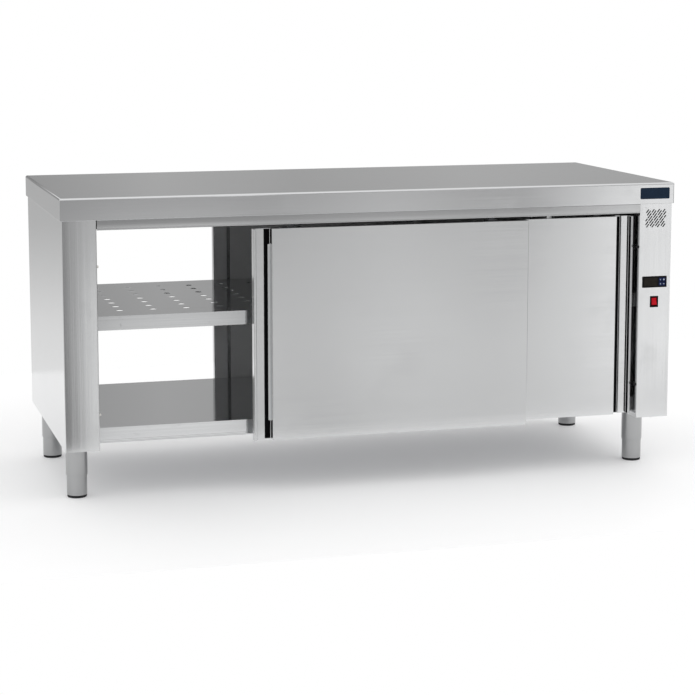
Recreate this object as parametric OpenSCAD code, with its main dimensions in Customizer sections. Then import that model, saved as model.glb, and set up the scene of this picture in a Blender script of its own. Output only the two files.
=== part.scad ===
// Plate warmer cabinet: a heated pass-through cupboard with sliding doors on
// both long sides, a technical compartment at the right end and a worktop.
// Origin: centre of the footprint, on the floor. The operator stands at -Y.

/* [Overall] */
// Length of the worktop
length = 1800; // [1500:10:2200]
// Depth of the worktop
depth = 750; // [650:10:850]
// Height from the floor to the worktop
height = 850; // [800:5:920]
// Height of the door bottoms and end boxes above the floor
underside_height = 152; // [140:1:180]
// How far the long sides of the body stand back from the worktop edge
side_inset = 5; // [3:1:12]
// How far the ends of the body stand back from the worktop edge
end_inset = 5; // [3:1:12]

/* [Worktop] */
// Height of the folded apron
apron_height = 62; // [50:1:80]
// Thickness of the worktop sheet
top_sheet = 1.5; // [1:0.1:3]
// Radius of the folded top edge
top_fold_radius = 6; // [3:0.5:8]
// Width of the return lip under the apron
return_lip = 15; // [10:1:22]
// Height of the hat stiffeners under the worktop
hat_height = 26; // [15:1:34]
// Width of a hat stiffener's crown
hat_width = 60; // [40:1:90]

/* [End boxes] */
// Width of the left post
left_post_width = 95; // [80:1:120]
// Width of the control column at the right
column_width = 100; // [90:1:130]
// Thickness of the body sheet
body_sheet = 1.2; // [0.8:0.1:2]
// Depth of the control column's returned side
column_side = 62; // [55:1:90]

/* [Doors] */
// Thickness of a door
door_thickness = 24; // [23:0.5:28]
// Running gap between the two door planes
door_gap = 3; // [2:0.5:6]
// Thickness of the door sheet
door_sheet = 1; // [0.8:0.1:1.5]
// Overlap of two closed doors
door_overlap = 47; // [40:1:100]
// Thickness of the rubber stops at the door ends
stop_thickness = 8; // [4:0.5:14]
// Gap between a door's top edge and the header rail
door_top_gap = 12; // [10:0.5:16]
// How much shorter the inner doors and liners are at the bottom
inner_door_lift = 8; // [6:0.5:14]
// How far the front left door stands open
front_door_open = 428; // [0:1:600]
// How far the rear left door stands open
rear_door_open = 461; // [0:1:600]

/* [Door grip] */
// Width of the deep finger groove
grip_groove = 19; // [15:0.5:30]
// Width of the set-back strip beside the groove
grip_strip = 26; // [18:0.5:40]
// Depth of the strip behind the door face
grip_strip_depth = 16; // [10:0.5:17]
// Width of the lip at the leading edge
grip_lip = 7; // [5:0.5:12]

/* [Door track] */
// Height of the header rail's face
header_face = 26; // [22:1:34]
// Height of the top track profile
track_height = 24; // [22:0.5:24]
// Wall of the top track profile
track_wall = 2; // [1.5:0.1:3]
// Width of the slot in the track's lower lips
track_slot = 8; // [7:0.5:9]
// Radius of a roller wheel
wheel_radius = 8; // [6:0.5:8.5]
// Width of one roller wheel
wheel_width = 4.5; // [3:0.5:5]
// Radius of the roller axle
axle_radius = 2; // [1.5:0.1:3]
// Radial running clearance of the axle in its hanger
axle_clearance = 0.06; // [0.02:0.01:0.1]
// Thickness of a hanger plate
hanger_plate = 3; // [2:0.5:4]
// Distance from a door's end to its hanger
hanger_offset = 110; // [80:5:200]
// Width of the centre guide's tongues along the door
guide_width = 24; // [16:1:30]
// Thickness of the guide's tongues
guide_tongue = 5; // [3:0.5:6]
// Width of the open channel under a door
guide_slot = 10; // [8:0.5:12]

/* [Shelf and floor] */
// Height of the floor tray's top above the base of the body
floor_rise = 52; // [45:1:80]
// Height of the mid shelf's top above the floor
shelf_height = 516; // [400:1:560]
// Height of the turned-down shelf edges
shelf_edge = 40; // [25:1:60]
// Thickness of the shelf and floor sheet
shelf_sheet = 1.2; // [0.8:0.1:2]
// Gap between the inner doors and the shelf edges
shelf_gap = 4; // [3:0.5:10]
// Radius of the shelf perforations
hole_radius = 10; // [6:0.5:14]
// Spacing of the perforations along the cabinet
hole_pitch_x = 95; // [60:1:140]
// Spacing of the perforations across the cabinet
hole_pitch_y = 72; // [50:1:120]
// Radius of the rolled bead under the floor's edge
bead_radius = 4; // [3:0.5:6]
// Depth of the ceiling tray over the chamber
ceiling_depth = 24; // [15:1:26]
// Projection of a shelf cleat from the wall
cleat_reach = 22; // [15:1:40]
// Height of a shelf cleat
cleat_drop = 32; // [24:1:60]
// Length of a shelf cleat
cleat_length = 120; // [60:5:200]
// Distance of the door stops from the ends of a door's edge
stop_inset = 90; // [60:1:150]

/* [Legs] */
// Radius of the fixed leg sleeve
sleeve_radius = 30.5; // [25:0.5:38]
// Wall of the leg sleeve
sleeve_wall = 1.5; // [1:0.1:3]
// Height of the sleeve's lower end above the floor
sleeve_bottom = 62; // [50:1:80]
// Radius of the adjustable foot
foot_radius = 28.5; // [23:0.5:36]
// Height of the black pad under the foot
pad_height = 7; // [4:0.5:12]
// How far the foot can be screwed out of its sleeve
foot_out = 30; // [10:1:40]
// How far the foot can be screwed into its sleeve
foot_in = 40; // [20:1:45]
// Radius of the foot's threaded stem
stem_radius = 5; // [4:0.5:8]
// Distance of the legs from the long sides
leg_from_side = 118; // [80:1:160]
// Distance of the left legs from the left end
leg_from_left = 50; // [45:1:60]
// Distance of the right legs from the right end
leg_from_right = 68; // [50:1:70]

/* [Controls] */
// Width of the controller bezel
bezel_width = 76; // [60:1:84]
// Height of the controller bezel
bezel_height = 33; // [28:1:40]
// Height of the controller's centre above the floor
bezel_level = 557; // [500:1:620]
// Width of the switch bezel
switch_width = 25; // [18:1:30]
// Height of the switch bezel
switch_height = 33; // [25:1:40]
// Height of the switch's centre above the floor
switch_level = 498; // [440:1:520]
// Width of the air grille's field of slots
grille_width = 66; // [50:1:75]
// Height of the air grille's field of slots
grille_height = 54; // [40:1:70]
// Distance of the grille's centre below the top of the body
grille_drop = 43; // [40:1:80]
// Width of one grille slot
slot_width = 3.4; // [2:0.1:4]
// Length of a full grille slot
slot_length = 15; // [10:0.5:20]
// Horizontal spacing of the rows of slots
slot_pitch = 8.6; // [7:0.1:12]
// Lean of the slots from level
slot_angle = 52; // [45:1:60]
// Width of the blank plate on the apron
badge_width = 92; // [60:1:100]
// Height of the blank plate on the apron
badge_height = 33; // [20:1:45]

/* [Heating] */
// Radius of the fan wheel
fan_radius = 70; // [50:1:85]
// Width of the fan wheel
fan_width = 24; // [15:1:26]
// Number of fan blades
fan_blades = 12; // [8:1:20]
// Mean radius of the ring heating element
heater_radius = 92; // [80:1:105]
// Radius of the heating element's tube
heater_tube = 4; // [3:0.5:5]
// Height of the fan's axis above the floor
fan_level = 470; // [400:1:520]
// Depth of the fan space behind the partition
duct_depth = 44; // [38:1:48]
// Width of the duct casing
duct_width = 250; // [230:5:300]
// Radius of the fan motor
motor_radius = 30; // [22:1:35]
// Radius of the fan shaft
shaft_radius = 3; // [2:0.5:4]
// Distance of the lower air outlets above the chamber floor
outlet_rise = 60; // [40:1:120]
// Distance of the upper air outlets below the top of the body
outlet_drop = 70; // [50:1:120]
// Thread radius of the cable gland
gland_radius = 10; // [8:0.5:12]

/* [Hidden] */
$fn = 48;

STEEL = [0.72, 0.73, 0.74];
DARK_STEEL = [0.5, 0.51, 0.53];
BLACK = [0.06, 0.06, 0.07];
NYLON = [0.9, 0.9, 0.88];
NAVY = [0.07, 0.1, 0.2];

// A slip small enough to cut cleanly, and the seat left between two bodies
cut = 1;
seat_gap = 0.3;
// Radius of a hole for a small screw
screw_hole = 2.1;

// Body limits
body_x0 = -length / 2 + end_inset;
body_x1 = length / 2 - end_inset;
body_y = depth / 2 - side_inset;
body_top = height - apron_height;
chamber_x0 = body_x0 + left_post_width;
chamber_x1 = body_x1 - column_width;
chamber_mid = (chamber_x0 + chamber_x1) / 2;
chamber_length = chamber_x1 - chamber_x0;
column_mid = (chamber_x1 + body_x1) / 2;
grille_level = body_top - grille_drop;

// Doors: faces measured as a distance in from the body's long side
door_recess = 1;
outer_face = door_recess;
inner_face = outer_face + door_thickness + door_gap;
doors_back = inner_face + door_thickness;
door_width = (chamber_length - 2 * stop_thickness + door_overlap) / 2;
door_top = body_top - header_face - door_top_gap;
door_floor = underside_height + inner_door_lift;
edge_lip = door_thickness / 2 - guide_slot / 2;

// Shelf and floor
shelf_y = body_y - doors_back - shelf_gap;
floor_top = underside_height + floor_rise;
floor_edge_bottom = door_floor;
end_gap = 1;

// Track and rollers
track_bottom = body_top - body_sheet - track_height;
lip_top = track_bottom + track_wall;
axle_z = lip_top + wheel_radius + seat_gap;
track_half = door_thickness / 2 - 2;

// Technical compartment
partition_x = chamber_x1 + 2;
duct_x1 = partition_x + body_sheet + duct_depth;

// Legs
leg_x0 = -length / 2 + leg_from_left;
leg_x1 = length / 2 - leg_from_right;
leg_y = depth / 2 - leg_from_side;
column_back = body_y - column_side;

// Centres of small fittings
cleat_level = shelf_height - shelf_sheet - cleat_drop / 2;
gland_x = body_x1 - 45;
gland_y = body_y - 60;
probe_y = 0.24 * duct_width;
probe_level = fan_level + duct_width / 2 + 8;
thermostat_y = 0.36 * duct_width;
cover_screw_inset = 0.3 * column_width;
terminals_y = body_y - 1.5 * column_width;
terminals_level = underside_height + 1.1 * column_width;
// Half the angle of the gap in the heating ring
heater_gap = 7.5;

// Helpers
// Carries a front piece round to the rear: half a turn about the chamber's middle
module to_rear() {
    translate([2 * chamber_mid, 0, 0]) rotate([0, 0, 180]) children();
}

module at_both_sides() {
    children();
    to_rear() children();
}

module box(x, y, z) {
    translate([x[0], y[0], z[0]]) cube([x[1] - x[0], y[1] - y[0], z[1] - z[0]]);
}

// A folded section drawn in (y, z), run along x
module along_x(x0, x1) {
    translate([x0, 0, 0]) rotate([90, 0, 90]) linear_extrude(x1 - x0) children();
}

// A folded section drawn in (x, y), stood up along z
module upright(z0, z1) {
    translate([0, 0, z0]) linear_extrude(z1 - z0) children();
}

// A plate in the x-z plane whose face looks along -y
module plate_front(y_face, thickness) {
    translate([0, y_face + thickness, 0]) rotate([90, 0, 0]) linear_extrude(thickness) children();
}

// Worktop
// A flat-bottomed section with two round top corners, centred on zero
module fold_section(w, h, r) {
    translate([-w / 2, 0]) square([w, h - r]);
    translate([-w / 2 + r, 0]) square([w - 2 * r, h]);
    for (s = [-1, 1]) translate([s * (w / 2 - r), h - r]) circle(r);
}

module folded_block(l, d, h, r) {
    intersection() {
        translate([-l / 2, 0, 0]) rotate([90, 0, 90]) linear_extrude(l) fold_section(d, h, r);
        translate([0, d / 2, 0]) rotate([90, 0, 0]) linear_extrude(d) fold_section(l, h, r);
    }
}

module worktop() color(STEEL)
    translate([0, 0, body_top]) difference() {
        folded_block(length, depth, apron_height, top_fold_radius);
        translate([0, 0, top_sheet])
            folded_block(length - 2 * top_sheet, depth - 2 * top_sheet,
                apron_height - 2 * top_sheet, top_fold_radius - top_sheet);
        translate([-length / 2 + return_lip, -depth / 2 + return_lip, -cut])
            cube([length - 2 * return_lip, depth - 2 * return_lip, top_sheet + 2 * cut]);
    }

module worktop_hats() color(DARK_STEEL) {
    flange = 18;
    z0 = height - top_sheet - hat_height;
    for (k = [-1, 0, 1])
        translate([0, k * depth / 4, z0])
            along_x(-length / 2 + 60, length / 2 - 60) difference() {
                union() {
                    translate([-hat_width / 2, 0]) square([hat_width, hat_height]);
                    translate([-hat_width / 2 - flange, hat_height - body_sheet])
                        square([hat_width + 2 * flange, body_sheet]);
                }
                translate([-hat_width / 2 + body_sheet, body_sheet])
                    square([hat_width - 2 * body_sheet, hat_height]);
            }
}

// End boxes
// The shell wraps the end, both posts and their returned edges
module end_shell_section(x0, x1, open_side) {
    difference() {
        translate([x0, -body_y]) square([x1 - x0, 2 * body_y]);
        translate([x0 + body_sheet, -body_y + body_sheet])
            square([x1 - x0 - 2 * body_sheet, 2 * (body_y - body_sheet)]);
        if (open_side)
            translate([x0 - cut, -body_y - cut]) square([x1 - x0 - body_sheet + cut, 2 * body_y + 2 * cut]);
    }
}

module left_end_shell() color(STEEL) {
    difference() {
        upright(underside_height, body_top)
            end_shell_section(body_x0, chamber_x0, false);
        // Cleats screw into the chamber face of the box
        for (s = [-1, 1])
            translate([chamber_x0 - 5, s * shelf_y / 2, cleat_level])
                rotate([0, 90, 0]) cylinder(r = screw_hole, h = 10, $fn = 24);
    }
    // Bottom plate that carries the legs
    difference() {
        box([body_x0 + body_sheet, chamber_x0 - body_sheet],
            [-body_y + body_sheet, body_y - body_sheet],
            [underside_height, underside_height + 2]);
        for (s = [-1, 1])
            translate([leg_x0, s * leg_y, underside_height - cut]) cylinder(r = stem_radius + 1, h = 4);
    }
}

module right_end_shell() color(STEEL) {
    lap = 14;
    // End sheet with returned front and rear edges behind the covers
    upright(underside_height, body_top) difference() {
        union() {
            translate([body_x1 - body_sheet, -body_y + body_sheet])
                square([body_sheet, 2 * (body_y - body_sheet)]);
            for (s = [-1, 1])
                translate([body_x1 - lap, s > 0 ? body_y - 2 * body_sheet : -body_y + body_sheet])
                    square([lap, body_sheet]);
        }
    }
    difference() {
        box([partition_x + body_sheet, body_x1 - body_sheet],
            [-body_y + 2 * body_sheet, body_y - 2 * body_sheet],
            [underside_height, underside_height + 2]);
        for (s = [-1, 1])
            translate([leg_x1, s * leg_y, underside_height - cut]) cylinder(r = stem_radius + 1, h = 4);
        translate([gland_x, gland_y, underside_height - cut]) cylinder(r = gland_radius, h = 4);
    }
}

// Start and end of one slot along its leaning line, cut to the grille's field
function slot_run(c, t0, t1) =
    let (dx = cos(slot_angle), dz = sin(slot_angle),
         margin = slot_width / 2,
         xa = (-grille_width / 2 + margin - c) / dx, xb = (grille_width / 2 - margin - c) / dx,
         za = (-grille_height / 2 + margin) / dz, zb = (grille_height / 2 - margin) / dz)
    [max(t0, xa, za), min(t1, xb, zb)];

module grille_slots() {
    period = slot_length + slot_width + 1.6;
    lines = ceil((grille_width + grille_height / tan(slot_angle)) / slot_pitch / 2);
    for (i = [-lines:lines], k = [-3:3]) {
        c = i * slot_pitch;
        start = k * period + (i % 2 == 0 ? 0 : period / 2) - slot_length / 2;
        run = slot_run(c, start, start + slot_length);
        if (run[1] - run[0] > slot_width)
            translate([c, 0]) rotate(slot_angle) {
                translate([run[0], -slot_width / 2]) square([run[1] - run[0], slot_width]);
                for (t = run) translate([t, 0]) circle(slot_width / 2, $fn = 16);
            }
    }
}

module control_column() color(STEEL)
    difference() {
        upright(underside_height, body_top) {
            translate([chamber_x1, -body_y]) square([column_width, body_sheet]);
            translate([chamber_x1, -body_y]) square([body_sheet, column_side]);
            // Rear edge of the side, returned against the partition
            translate([chamber_x1, -column_back - body_sheet])
                square([partition_x + body_sheet - chamber_x1, body_sheet]);
        }
        translate([column_mid, 0, grille_level])
            plate_front(-body_y - cut, body_sheet + 2 * cut) grille_slots();
        translate([column_mid, 0, bezel_level])
            plate_front(-body_y - cut, body_sheet + 2 * cut)
                square([bezel_width - 5, bezel_height - 5], center = true);
        translate([column_mid, 0, switch_level])
            plate_front(-body_y - cut, body_sheet + 2 * cut)
                square([switch_width - 4, switch_height - 4], center = true);
    }

module rear_column_cover() color(STEEL) {
    louvre_count = 7;
    mirror([0, 1, 0]) difference() {
        upright(underside_height, body_top) {
            translate([chamber_x1, -body_y]) square([column_width, body_sheet]);
            translate([chamber_x1, -body_y]) square([body_sheet, column_side]);
            translate([chamber_x1, -column_back - body_sheet])
                square([partition_x + body_sheet - chamber_x1, body_sheet]);
        }
        for (k = [0:louvre_count - 1])
            translate([column_mid, 0, underside_height + 60 + k * 12])
                plate_front(-body_y - cut, body_sheet + 2 * cut) {
                    square([50, 4], center = true);
                    for (s = [-1, 1]) translate([s * 25, 0]) circle(2, $fn = 16);
                }
    }
}

module partition() color(STEEL) {
    difference() {
        box([partition_x, partition_x + body_sheet], [-column_back, column_back],
            [underside_height, body_top]);
        // Ring of intake slots in front of the fan
        for (a = [0:30:330], r = [24, 42])
            translate([partition_x - cut, 0, fan_level]) rotate([a, 0, 0])
                translate([0, 0, r]) rotate([0, 90, 0]) cylinder(r = 5, h = body_sheet + 2 * cut, $fn = 24);
        // Two rows of hot air outlets, above and below the shelf
        for (z = [floor_top + outlet_rise, body_top - outlet_drop], k = [-4:4])
            translate([partition_x - cut, k * 55 - 17, z - 5]) cube([body_sheet + 2 * cut, 34, 10]);
        for (s = [-1, 1])
            translate([partition_x - cut, s * shelf_y / 2, cleat_level])
                rotate([0, 90, 0]) cylinder(r = screw_hole, h = 10, $fn = 24);
        translate([partition_x - cut, probe_y, probe_level]) rotate([0, 90, 0])
            cylinder(r = 3.1, h = 10, $fn = 24);
    }
}

// Headers and tracks
module headers() color(STEEL) at_both_sides() {
    z0 = body_top - header_face;
    // A face with a rolled lower edge and a rearward top flange
    along_x(chamber_x0 + end_gap, chamber_x1 - 3 * end_gap) {
        translate([-body_y, z0]) square([body_sheet, header_face]);
        translate([-body_y, body_top - body_sheet]) square([doors_back - 2, body_sheet]);
        translate([-body_y, z0]) square([door_recess + 2, body_sheet]);
    }
}

module track_section() {
    difference() {
        translate([-track_half, 0]) square([2 * track_half, track_height]);
        translate([-track_half + track_wall, track_wall])
            square([2 * (track_half - track_wall), track_height - 2 * track_wall]);
        translate([-track_slot / 2, -cut]) square([track_slot, track_wall + 2 * cut]);
    }
}

module top_tracks() color(DARK_STEEL) at_both_sides()
    along_x(chamber_x0 + 2, chamber_x1 - 4)
        for (face = [outer_face, inner_face])
            translate([-body_y + face + door_thickness / 2, track_bottom]) track_section();

module chamber_ceiling() color(STEEL) {
    // An upturned tray between the two inner tracks
    y_end = body_y - inner_face - door_thickness / 2 - track_half;
    z0 = body_top - ceiling_depth;
    difference() {
        box([chamber_x0, chamber_x1], [-y_end, y_end], [z0, body_top]);
        box([chamber_x0 + body_sheet, chamber_x1 - body_sheet],
            [-y_end + body_sheet, y_end - body_sheet], [z0 + body_sheet, body_top + cut]);
    }
}

// Floor, base pan and shelf
module floor_tray() color(STEEL) {
    sheet_z = floor_top - shelf_sheet;
    along_x(chamber_x0, chamber_x1) {
        translate([-shelf_y, sheet_z]) square([2 * shelf_y, shelf_sheet]);
        for (s = [-1, 1]) {
            translate([s > 0 ? shelf_y - shelf_sheet : -shelf_y, floor_edge_bottom + bead_radius])
                square([shelf_sheet, floor_top - floor_edge_bottom - bead_radius]);
            translate([s * (shelf_y - bead_radius), floor_edge_bottom + bead_radius]) circle(bead_radius);
        }
    }
    // The sheet runs on to the partition between the two column sides
    box([chamber_x1 - cut, partition_x], [-column_back + cut, column_back - cut], [sheet_z, floor_top]);
}

module base_pan() color(DARK_STEEL) {
    y_end = shelf_y - 2 * bead_radius;
    z0 = door_floor + 2;
    rim = 12;
    along_x(chamber_x0, partition_x) {
        translate([-y_end, z0]) square([2 * y_end, body_sheet]);
        for (s = [-1, 1])
            translate([s > 0 ? y_end - body_sheet : -y_end, z0]) square([body_sheet, rim]);
    }
}

module floor_insulation() color([0.85, 0.8, 0.6]) {
    y_end = shelf_y - 2 * bead_radius - body_sheet;
    box([chamber_x0, partition_x], [-y_end, y_end], [door_floor + 2 + body_sheet, floor_top - shelf_sheet]);
}

module mid_shelf() color(STEEL) {
    x0 = chamber_x0 + 2 * end_gap;
    x1 = chamber_x1;
    lip = 10;
    // Whole pitches fit between the outermost columns, with none on the middle line
    cols = floor((x1 - x0 - 60) / hole_pitch_x / 2 + 0.5);
    rows = floor((shelf_y - 40) / hole_pitch_y);
    difference() {
        along_x(x0, x1) {
            translate([-shelf_y, shelf_height - shelf_sheet]) square([2 * shelf_y, shelf_sheet]);
            for (s = [-1, 1]) {
                translate([s > 0 ? shelf_y - shelf_sheet : -shelf_y, shelf_height - shelf_edge])
                    square([shelf_sheet, shelf_edge]);
                translate([s > 0 ? shelf_y - lip : -shelf_y, shelf_height - shelf_edge])
                    square([lip, shelf_sheet]);
            }
        }
        for (i = [-cols:cols - 1], k = [-rows:rows])
            translate([chamber_mid + (i + 0.5) * hole_pitch_x, k * hole_pitch_y, shelf_height - 3 * cut])
                cylinder(r = hole_radius, h = shelf_sheet + 3 * cut, $fn = 32);
    }
}

module shelf_cleats() color(DARK_STEEL) {
    thick = 2;
    for (side = [0, 1], s = [-1, 1]) {
        wall_x = side == 0 ? chamber_x0 : partition_x;
        translate([wall_x, s * shelf_y / 2, shelf_height - shelf_sheet]) mirror([side, 0, 0]) difference() {
            union() {
                translate([0, -cleat_length / 2, -cleat_drop]) cube([thick, cleat_length, cleat_drop]);
                translate([0, -cleat_length / 2, -thick]) cube([cleat_reach, cleat_length, thick]);
            }
            translate([-cut, 0, -cleat_drop / 2]) rotate([0, 90, 0])
                cylinder(r = screw_hole, h = thick + 2 * cut, $fn = 24);
        }
    }
}

// Doors
// Plan of the door skin: x runs from the leading edge, y back from the face
module skin_plan() {
    s = door_sheet;
    groove_x = grip_lip + grip_strip;
    face_x = groove_x + grip_groove;
    back = door_thickness - s;
    // Lip: face, side and inner return
    square([grip_lip, s]);
    square([s, back]);
    translate([grip_lip - s, 0]) square([s, grip_strip_depth + s]);
    // Set-back strip
    translate([grip_lip - s, grip_strip_depth]) square([grip_strip + s, s]);
    // Strip's edge folded back to the groove floor
    translate([groove_x - s, grip_strip_depth]) square([s, back - grip_strip_depth]);
    translate([groove_x - s, back - s]) square([grip_groove + 2 * s, s]);
    translate([face_x, 0]) square([s, back]);
    // Main face and trailing edge
    translate([face_x, 0]) square([door_width - face_x, s]);
    translate([door_width - s, 0]) square([s, back]);
}

// Plan of what the skin encloses, used for its top and bottom closures
module closure_plan() {
    s = door_sheet;
    groove_x = grip_lip + grip_strip;
    face_x = groove_x + grip_groove;
    back = door_thickness - s;
    difference() {
        square([door_width, back]);
        translate([grip_lip, -cut]) square([grip_strip, grip_strip_depth + cut]);
    }
}

module door_skin(bottom) {
    s = door_sheet;
    upright(bottom, door_top) skin_plan();
    upright(door_top - s, door_top) closure_plan();
    // Grip ends closed, and a narrow return under the main face
    upright(bottom, bottom + s) intersection() {
        closure_plan();
        union() {
            square([grip_lip + grip_strip + grip_groove + s, door_thickness]);
            square([door_width, edge_lip]);
        }
    }
}

module door_liner() {
    s = door_sheet;
    margin = 58;
    step = 2;
    back = door_thickness;
    // Flat rim on the skin's edges, with a pressed panel inside it
    difference() {
        translate([0, back - s, door_floor]) cube([door_width, s, door_top - door_floor]);
        translate([margin, back - s - cut, door_floor + margin])
            cube([door_width - 2 * margin, s + 2 * cut, door_top - door_floor - 2 * margin]);
    }
    difference() {
        translate([margin - s, back - s - step, door_floor + margin - s])
            cube([door_width - 2 * (margin - s), s + step, door_top - door_floor - 2 * (margin - s)]);
        translate([margin, back - step, door_floor + margin])
            cube([door_width - 2 * margin, step + cut, door_top - door_floor - 2 * margin]);
    }
    // Inner return that bounds the guide channel
    translate([grip_lip + grip_strip + grip_groove + 2, door_thickness / 2 + guide_slot / 2, door_floor])
        cube([door_width - grip_lip - grip_strip - grip_groove - 4,
            back - s - door_thickness / 2 - guide_slot / 2, s]);
}

module door_hangers() {
    foot = [56, door_thickness - 4, 2];
    for (x = [hanger_offset, door_width - hanger_offset])
        translate([x, door_thickness / 2, door_top]) difference() {
            union() {
                translate([-foot[0] / 2, -foot[1] / 2, 0]) cube(foot);
                translate([-10, -hanger_plate / 2, 0]) cube([20, hanger_plate, axle_z - door_top]);
                translate([0, 0, axle_z - door_top]) rotate([90, 0, 0])
                    cylinder(r = 7, h = hanger_plate, center = true);
            }
            translate([0, 0, axle_z - door_top]) rotate([90, 0, 0])
                cylinder(r = axle_radius + axle_clearance, h = 4 * hanger_plate, center = true);
        }
}

module roller(x) {
    gap = 0.4;
    translate([x, door_thickness / 2, axle_z]) rotate([90, 0, 0]) {
        cylinder(r = axle_radius, h = hanger_plate + 2 * (gap + wheel_width) + 1, center = true);
        for (s = [-1, 1])
            translate([0, 0, s * (hanger_plate / 2 + gap + wheel_width / 2)])
                cylinder(r = wheel_radius, h = wheel_width, center = true);
    }
}

// Seats: a door's own frame has x from its leading edge and y back from its face.
// A left-handed door leads with its low-x edge.
module seat_outer_left(open) {
    translate([chamber_x0 + stop_thickness + open, -body_y + outer_face, 0]) children();
}

module seat_inner_right(open) {
    translate([chamber_x1 - stop_thickness - open, -body_y + inner_face, 0])
        mirror([1, 0, 0]) children();
}

module front_left_skin() color(STEEL) seat_outer_left(front_door_open) door_skin(underside_height);
module front_left_liner() color(DARK_STEEL) seat_outer_left(front_door_open) door_liner();
module front_left_hangers() color(DARK_STEEL) seat_outer_left(front_door_open) door_hangers();
module front_left_roller_a() color(NYLON) seat_outer_left(front_door_open) roller(hanger_offset);
module front_left_roller_b() color(NYLON) seat_outer_left(front_door_open) roller(door_width - hanger_offset);

module front_right_skin() color(STEEL) seat_inner_right(0) door_skin(door_floor);
module front_right_liner() color(DARK_STEEL) seat_inner_right(0) door_liner();
module front_right_hangers() color(DARK_STEEL) seat_inner_right(0) door_hangers();
module front_right_roller_a() color(NYLON) seat_inner_right(0) roller(door_width - hanger_offset);
module front_right_roller_b() color(NYLON) seat_inner_right(0) roller(hanger_offset);

module rear_left_skin() color(STEEL) to_rear() seat_inner_right(rear_door_open) door_skin(door_floor);
module rear_left_liner() color(DARK_STEEL) to_rear() seat_inner_right(rear_door_open) door_liner();
module rear_left_hangers() color(DARK_STEEL) to_rear() seat_inner_right(rear_door_open) door_hangers();
module rear_left_roller_a() color(NYLON) to_rear() seat_inner_right(rear_door_open) roller(hanger_offset);
module rear_left_roller_b() color(NYLON) to_rear() seat_inner_right(rear_door_open)
    roller(door_width - hanger_offset);

module rear_right_skin() color(STEEL) to_rear() seat_outer_left(0) door_skin(underside_height);
module rear_right_liner() color(DARK_STEEL) to_rear() seat_outer_left(0) door_liner();
module rear_right_hangers() color(DARK_STEEL) to_rear() seat_outer_left(0) door_hangers();
module rear_right_roller_a() color(NYLON) to_rear() seat_outer_left(0) roller(door_width - hanger_offset);
module rear_right_roller_b() color(NYLON) to_rear() seat_outer_left(0) roller(hanger_offset);

// A plate from the base pan, under both doors, with a tongue into each channel
module centre_guides() color(NYLON) at_both_sides() {
    plate_top = door_floor - 2;
    plate = 3;
    block = [-shelf_y + 2 * bead_radius + 1, -shelf_y + 2 * bead_radius + 26];
    outer_y = -body_y + outer_face + door_thickness / 2;
    inner_y = -body_y + inner_face + door_thickness / 2;
    translate([chamber_mid - guide_width / 2, 0, 0]) {
        box([0, guide_width], [outer_y - guide_tongue / 2, block[1]], [plate_top - plate, plate_top]);
        for (y = [outer_y, inner_y])
            box([0, guide_width], [y - guide_tongue / 2, y + guide_tongue / 2],
                [plate_top - plate, door_floor + 9]);
        box([0, guide_width], block, [plate_top - plate, door_floor + 2]);
    }
}

// Round-nosed rubber stops on the end boxes, one for each end of each track
module door_stops() color(BLACK) at_both_sides()
    for (face = [outer_face, inner_face], end = [0, 1], z = [door_floor + stop_inset, door_top - stop_inset])
        translate([end == 0 ? chamber_x0 : chamber_x1, -body_y + face + door_thickness / 2, z])
            rotate([0, end == 0 ? 90 : -90, 0]) stop_buffer();

module stop_buffer() {
    r = 6;
    nose = 2;
    h = stop_thickness - seat_gap;
    rotate_extrude($fn = 32) {
        square([r - nose, h]);
        square([r, h - nose]);
        translate([r - nose, h - nose]) circle(nose, $fn = 16);
    }
}

// Legs
module leg_sleeves() color(STEEL)
    for (x = [leg_x0, leg_x1], s = [-1, 1])
        translate([x, s * leg_y, 0]) difference() {
            cap = 5;
            run = underside_height - sleeve_bottom;
            translate([0, 0, sleeve_bottom]) cylinder(r = sleeve_radius, h = run, $fn = 96);
            translate([0, 0, sleeve_bottom - cut])
                cylinder(r = sleeve_radius - sleeve_wall, h = run - cap + cut, $fn = 96);
            // Nut that the stem runs in
            translate([0, 0, sleeve_bottom])
                cylinder(r = stem_radius + axle_clearance, h = underside_height);
        }

module foot(x, s) translate([x, s * leg_y, 0]) {
    foot_pad();
    foot_tube();
}

// The tube is closed at its lower end and carries the stem on an upper plate
module foot_tube() color(STEEL) {
    reach = sleeve_bottom + foot_out + 10;
    wall = 1.5;
    rotate_extrude($fn = 96) {
        translate([foot_radius - wall, pad_height]) square([wall, reach - pad_height]);
        translate([0, pad_height]) square([foot_radius, 3]);
        translate([0, reach - 4]) square([foot_radius, 4]);
        translate([0, pad_height]) square([stem_radius, underside_height + foot_out - pad_height]);
    }
}

module foot_pad() color(BLACK) {
    r = foot_radius - 1;
    toe = min(3, pad_height - 1);
    rotate_extrude($fn = 96) {
        square([r - toe, pad_height]);
        translate([0, toe]) square([r, pad_height - toe]);
        translate([r - toe, toe]) circle(toe, $fn = 32);
    }
}

module foot_front_left() foot(leg_x0, -1);
module foot_front_right() foot(leg_x1, -1);
module foot_rear_left() foot(leg_x0, 1);
module foot_rear_right() foot(leg_x1, 1);

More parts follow.
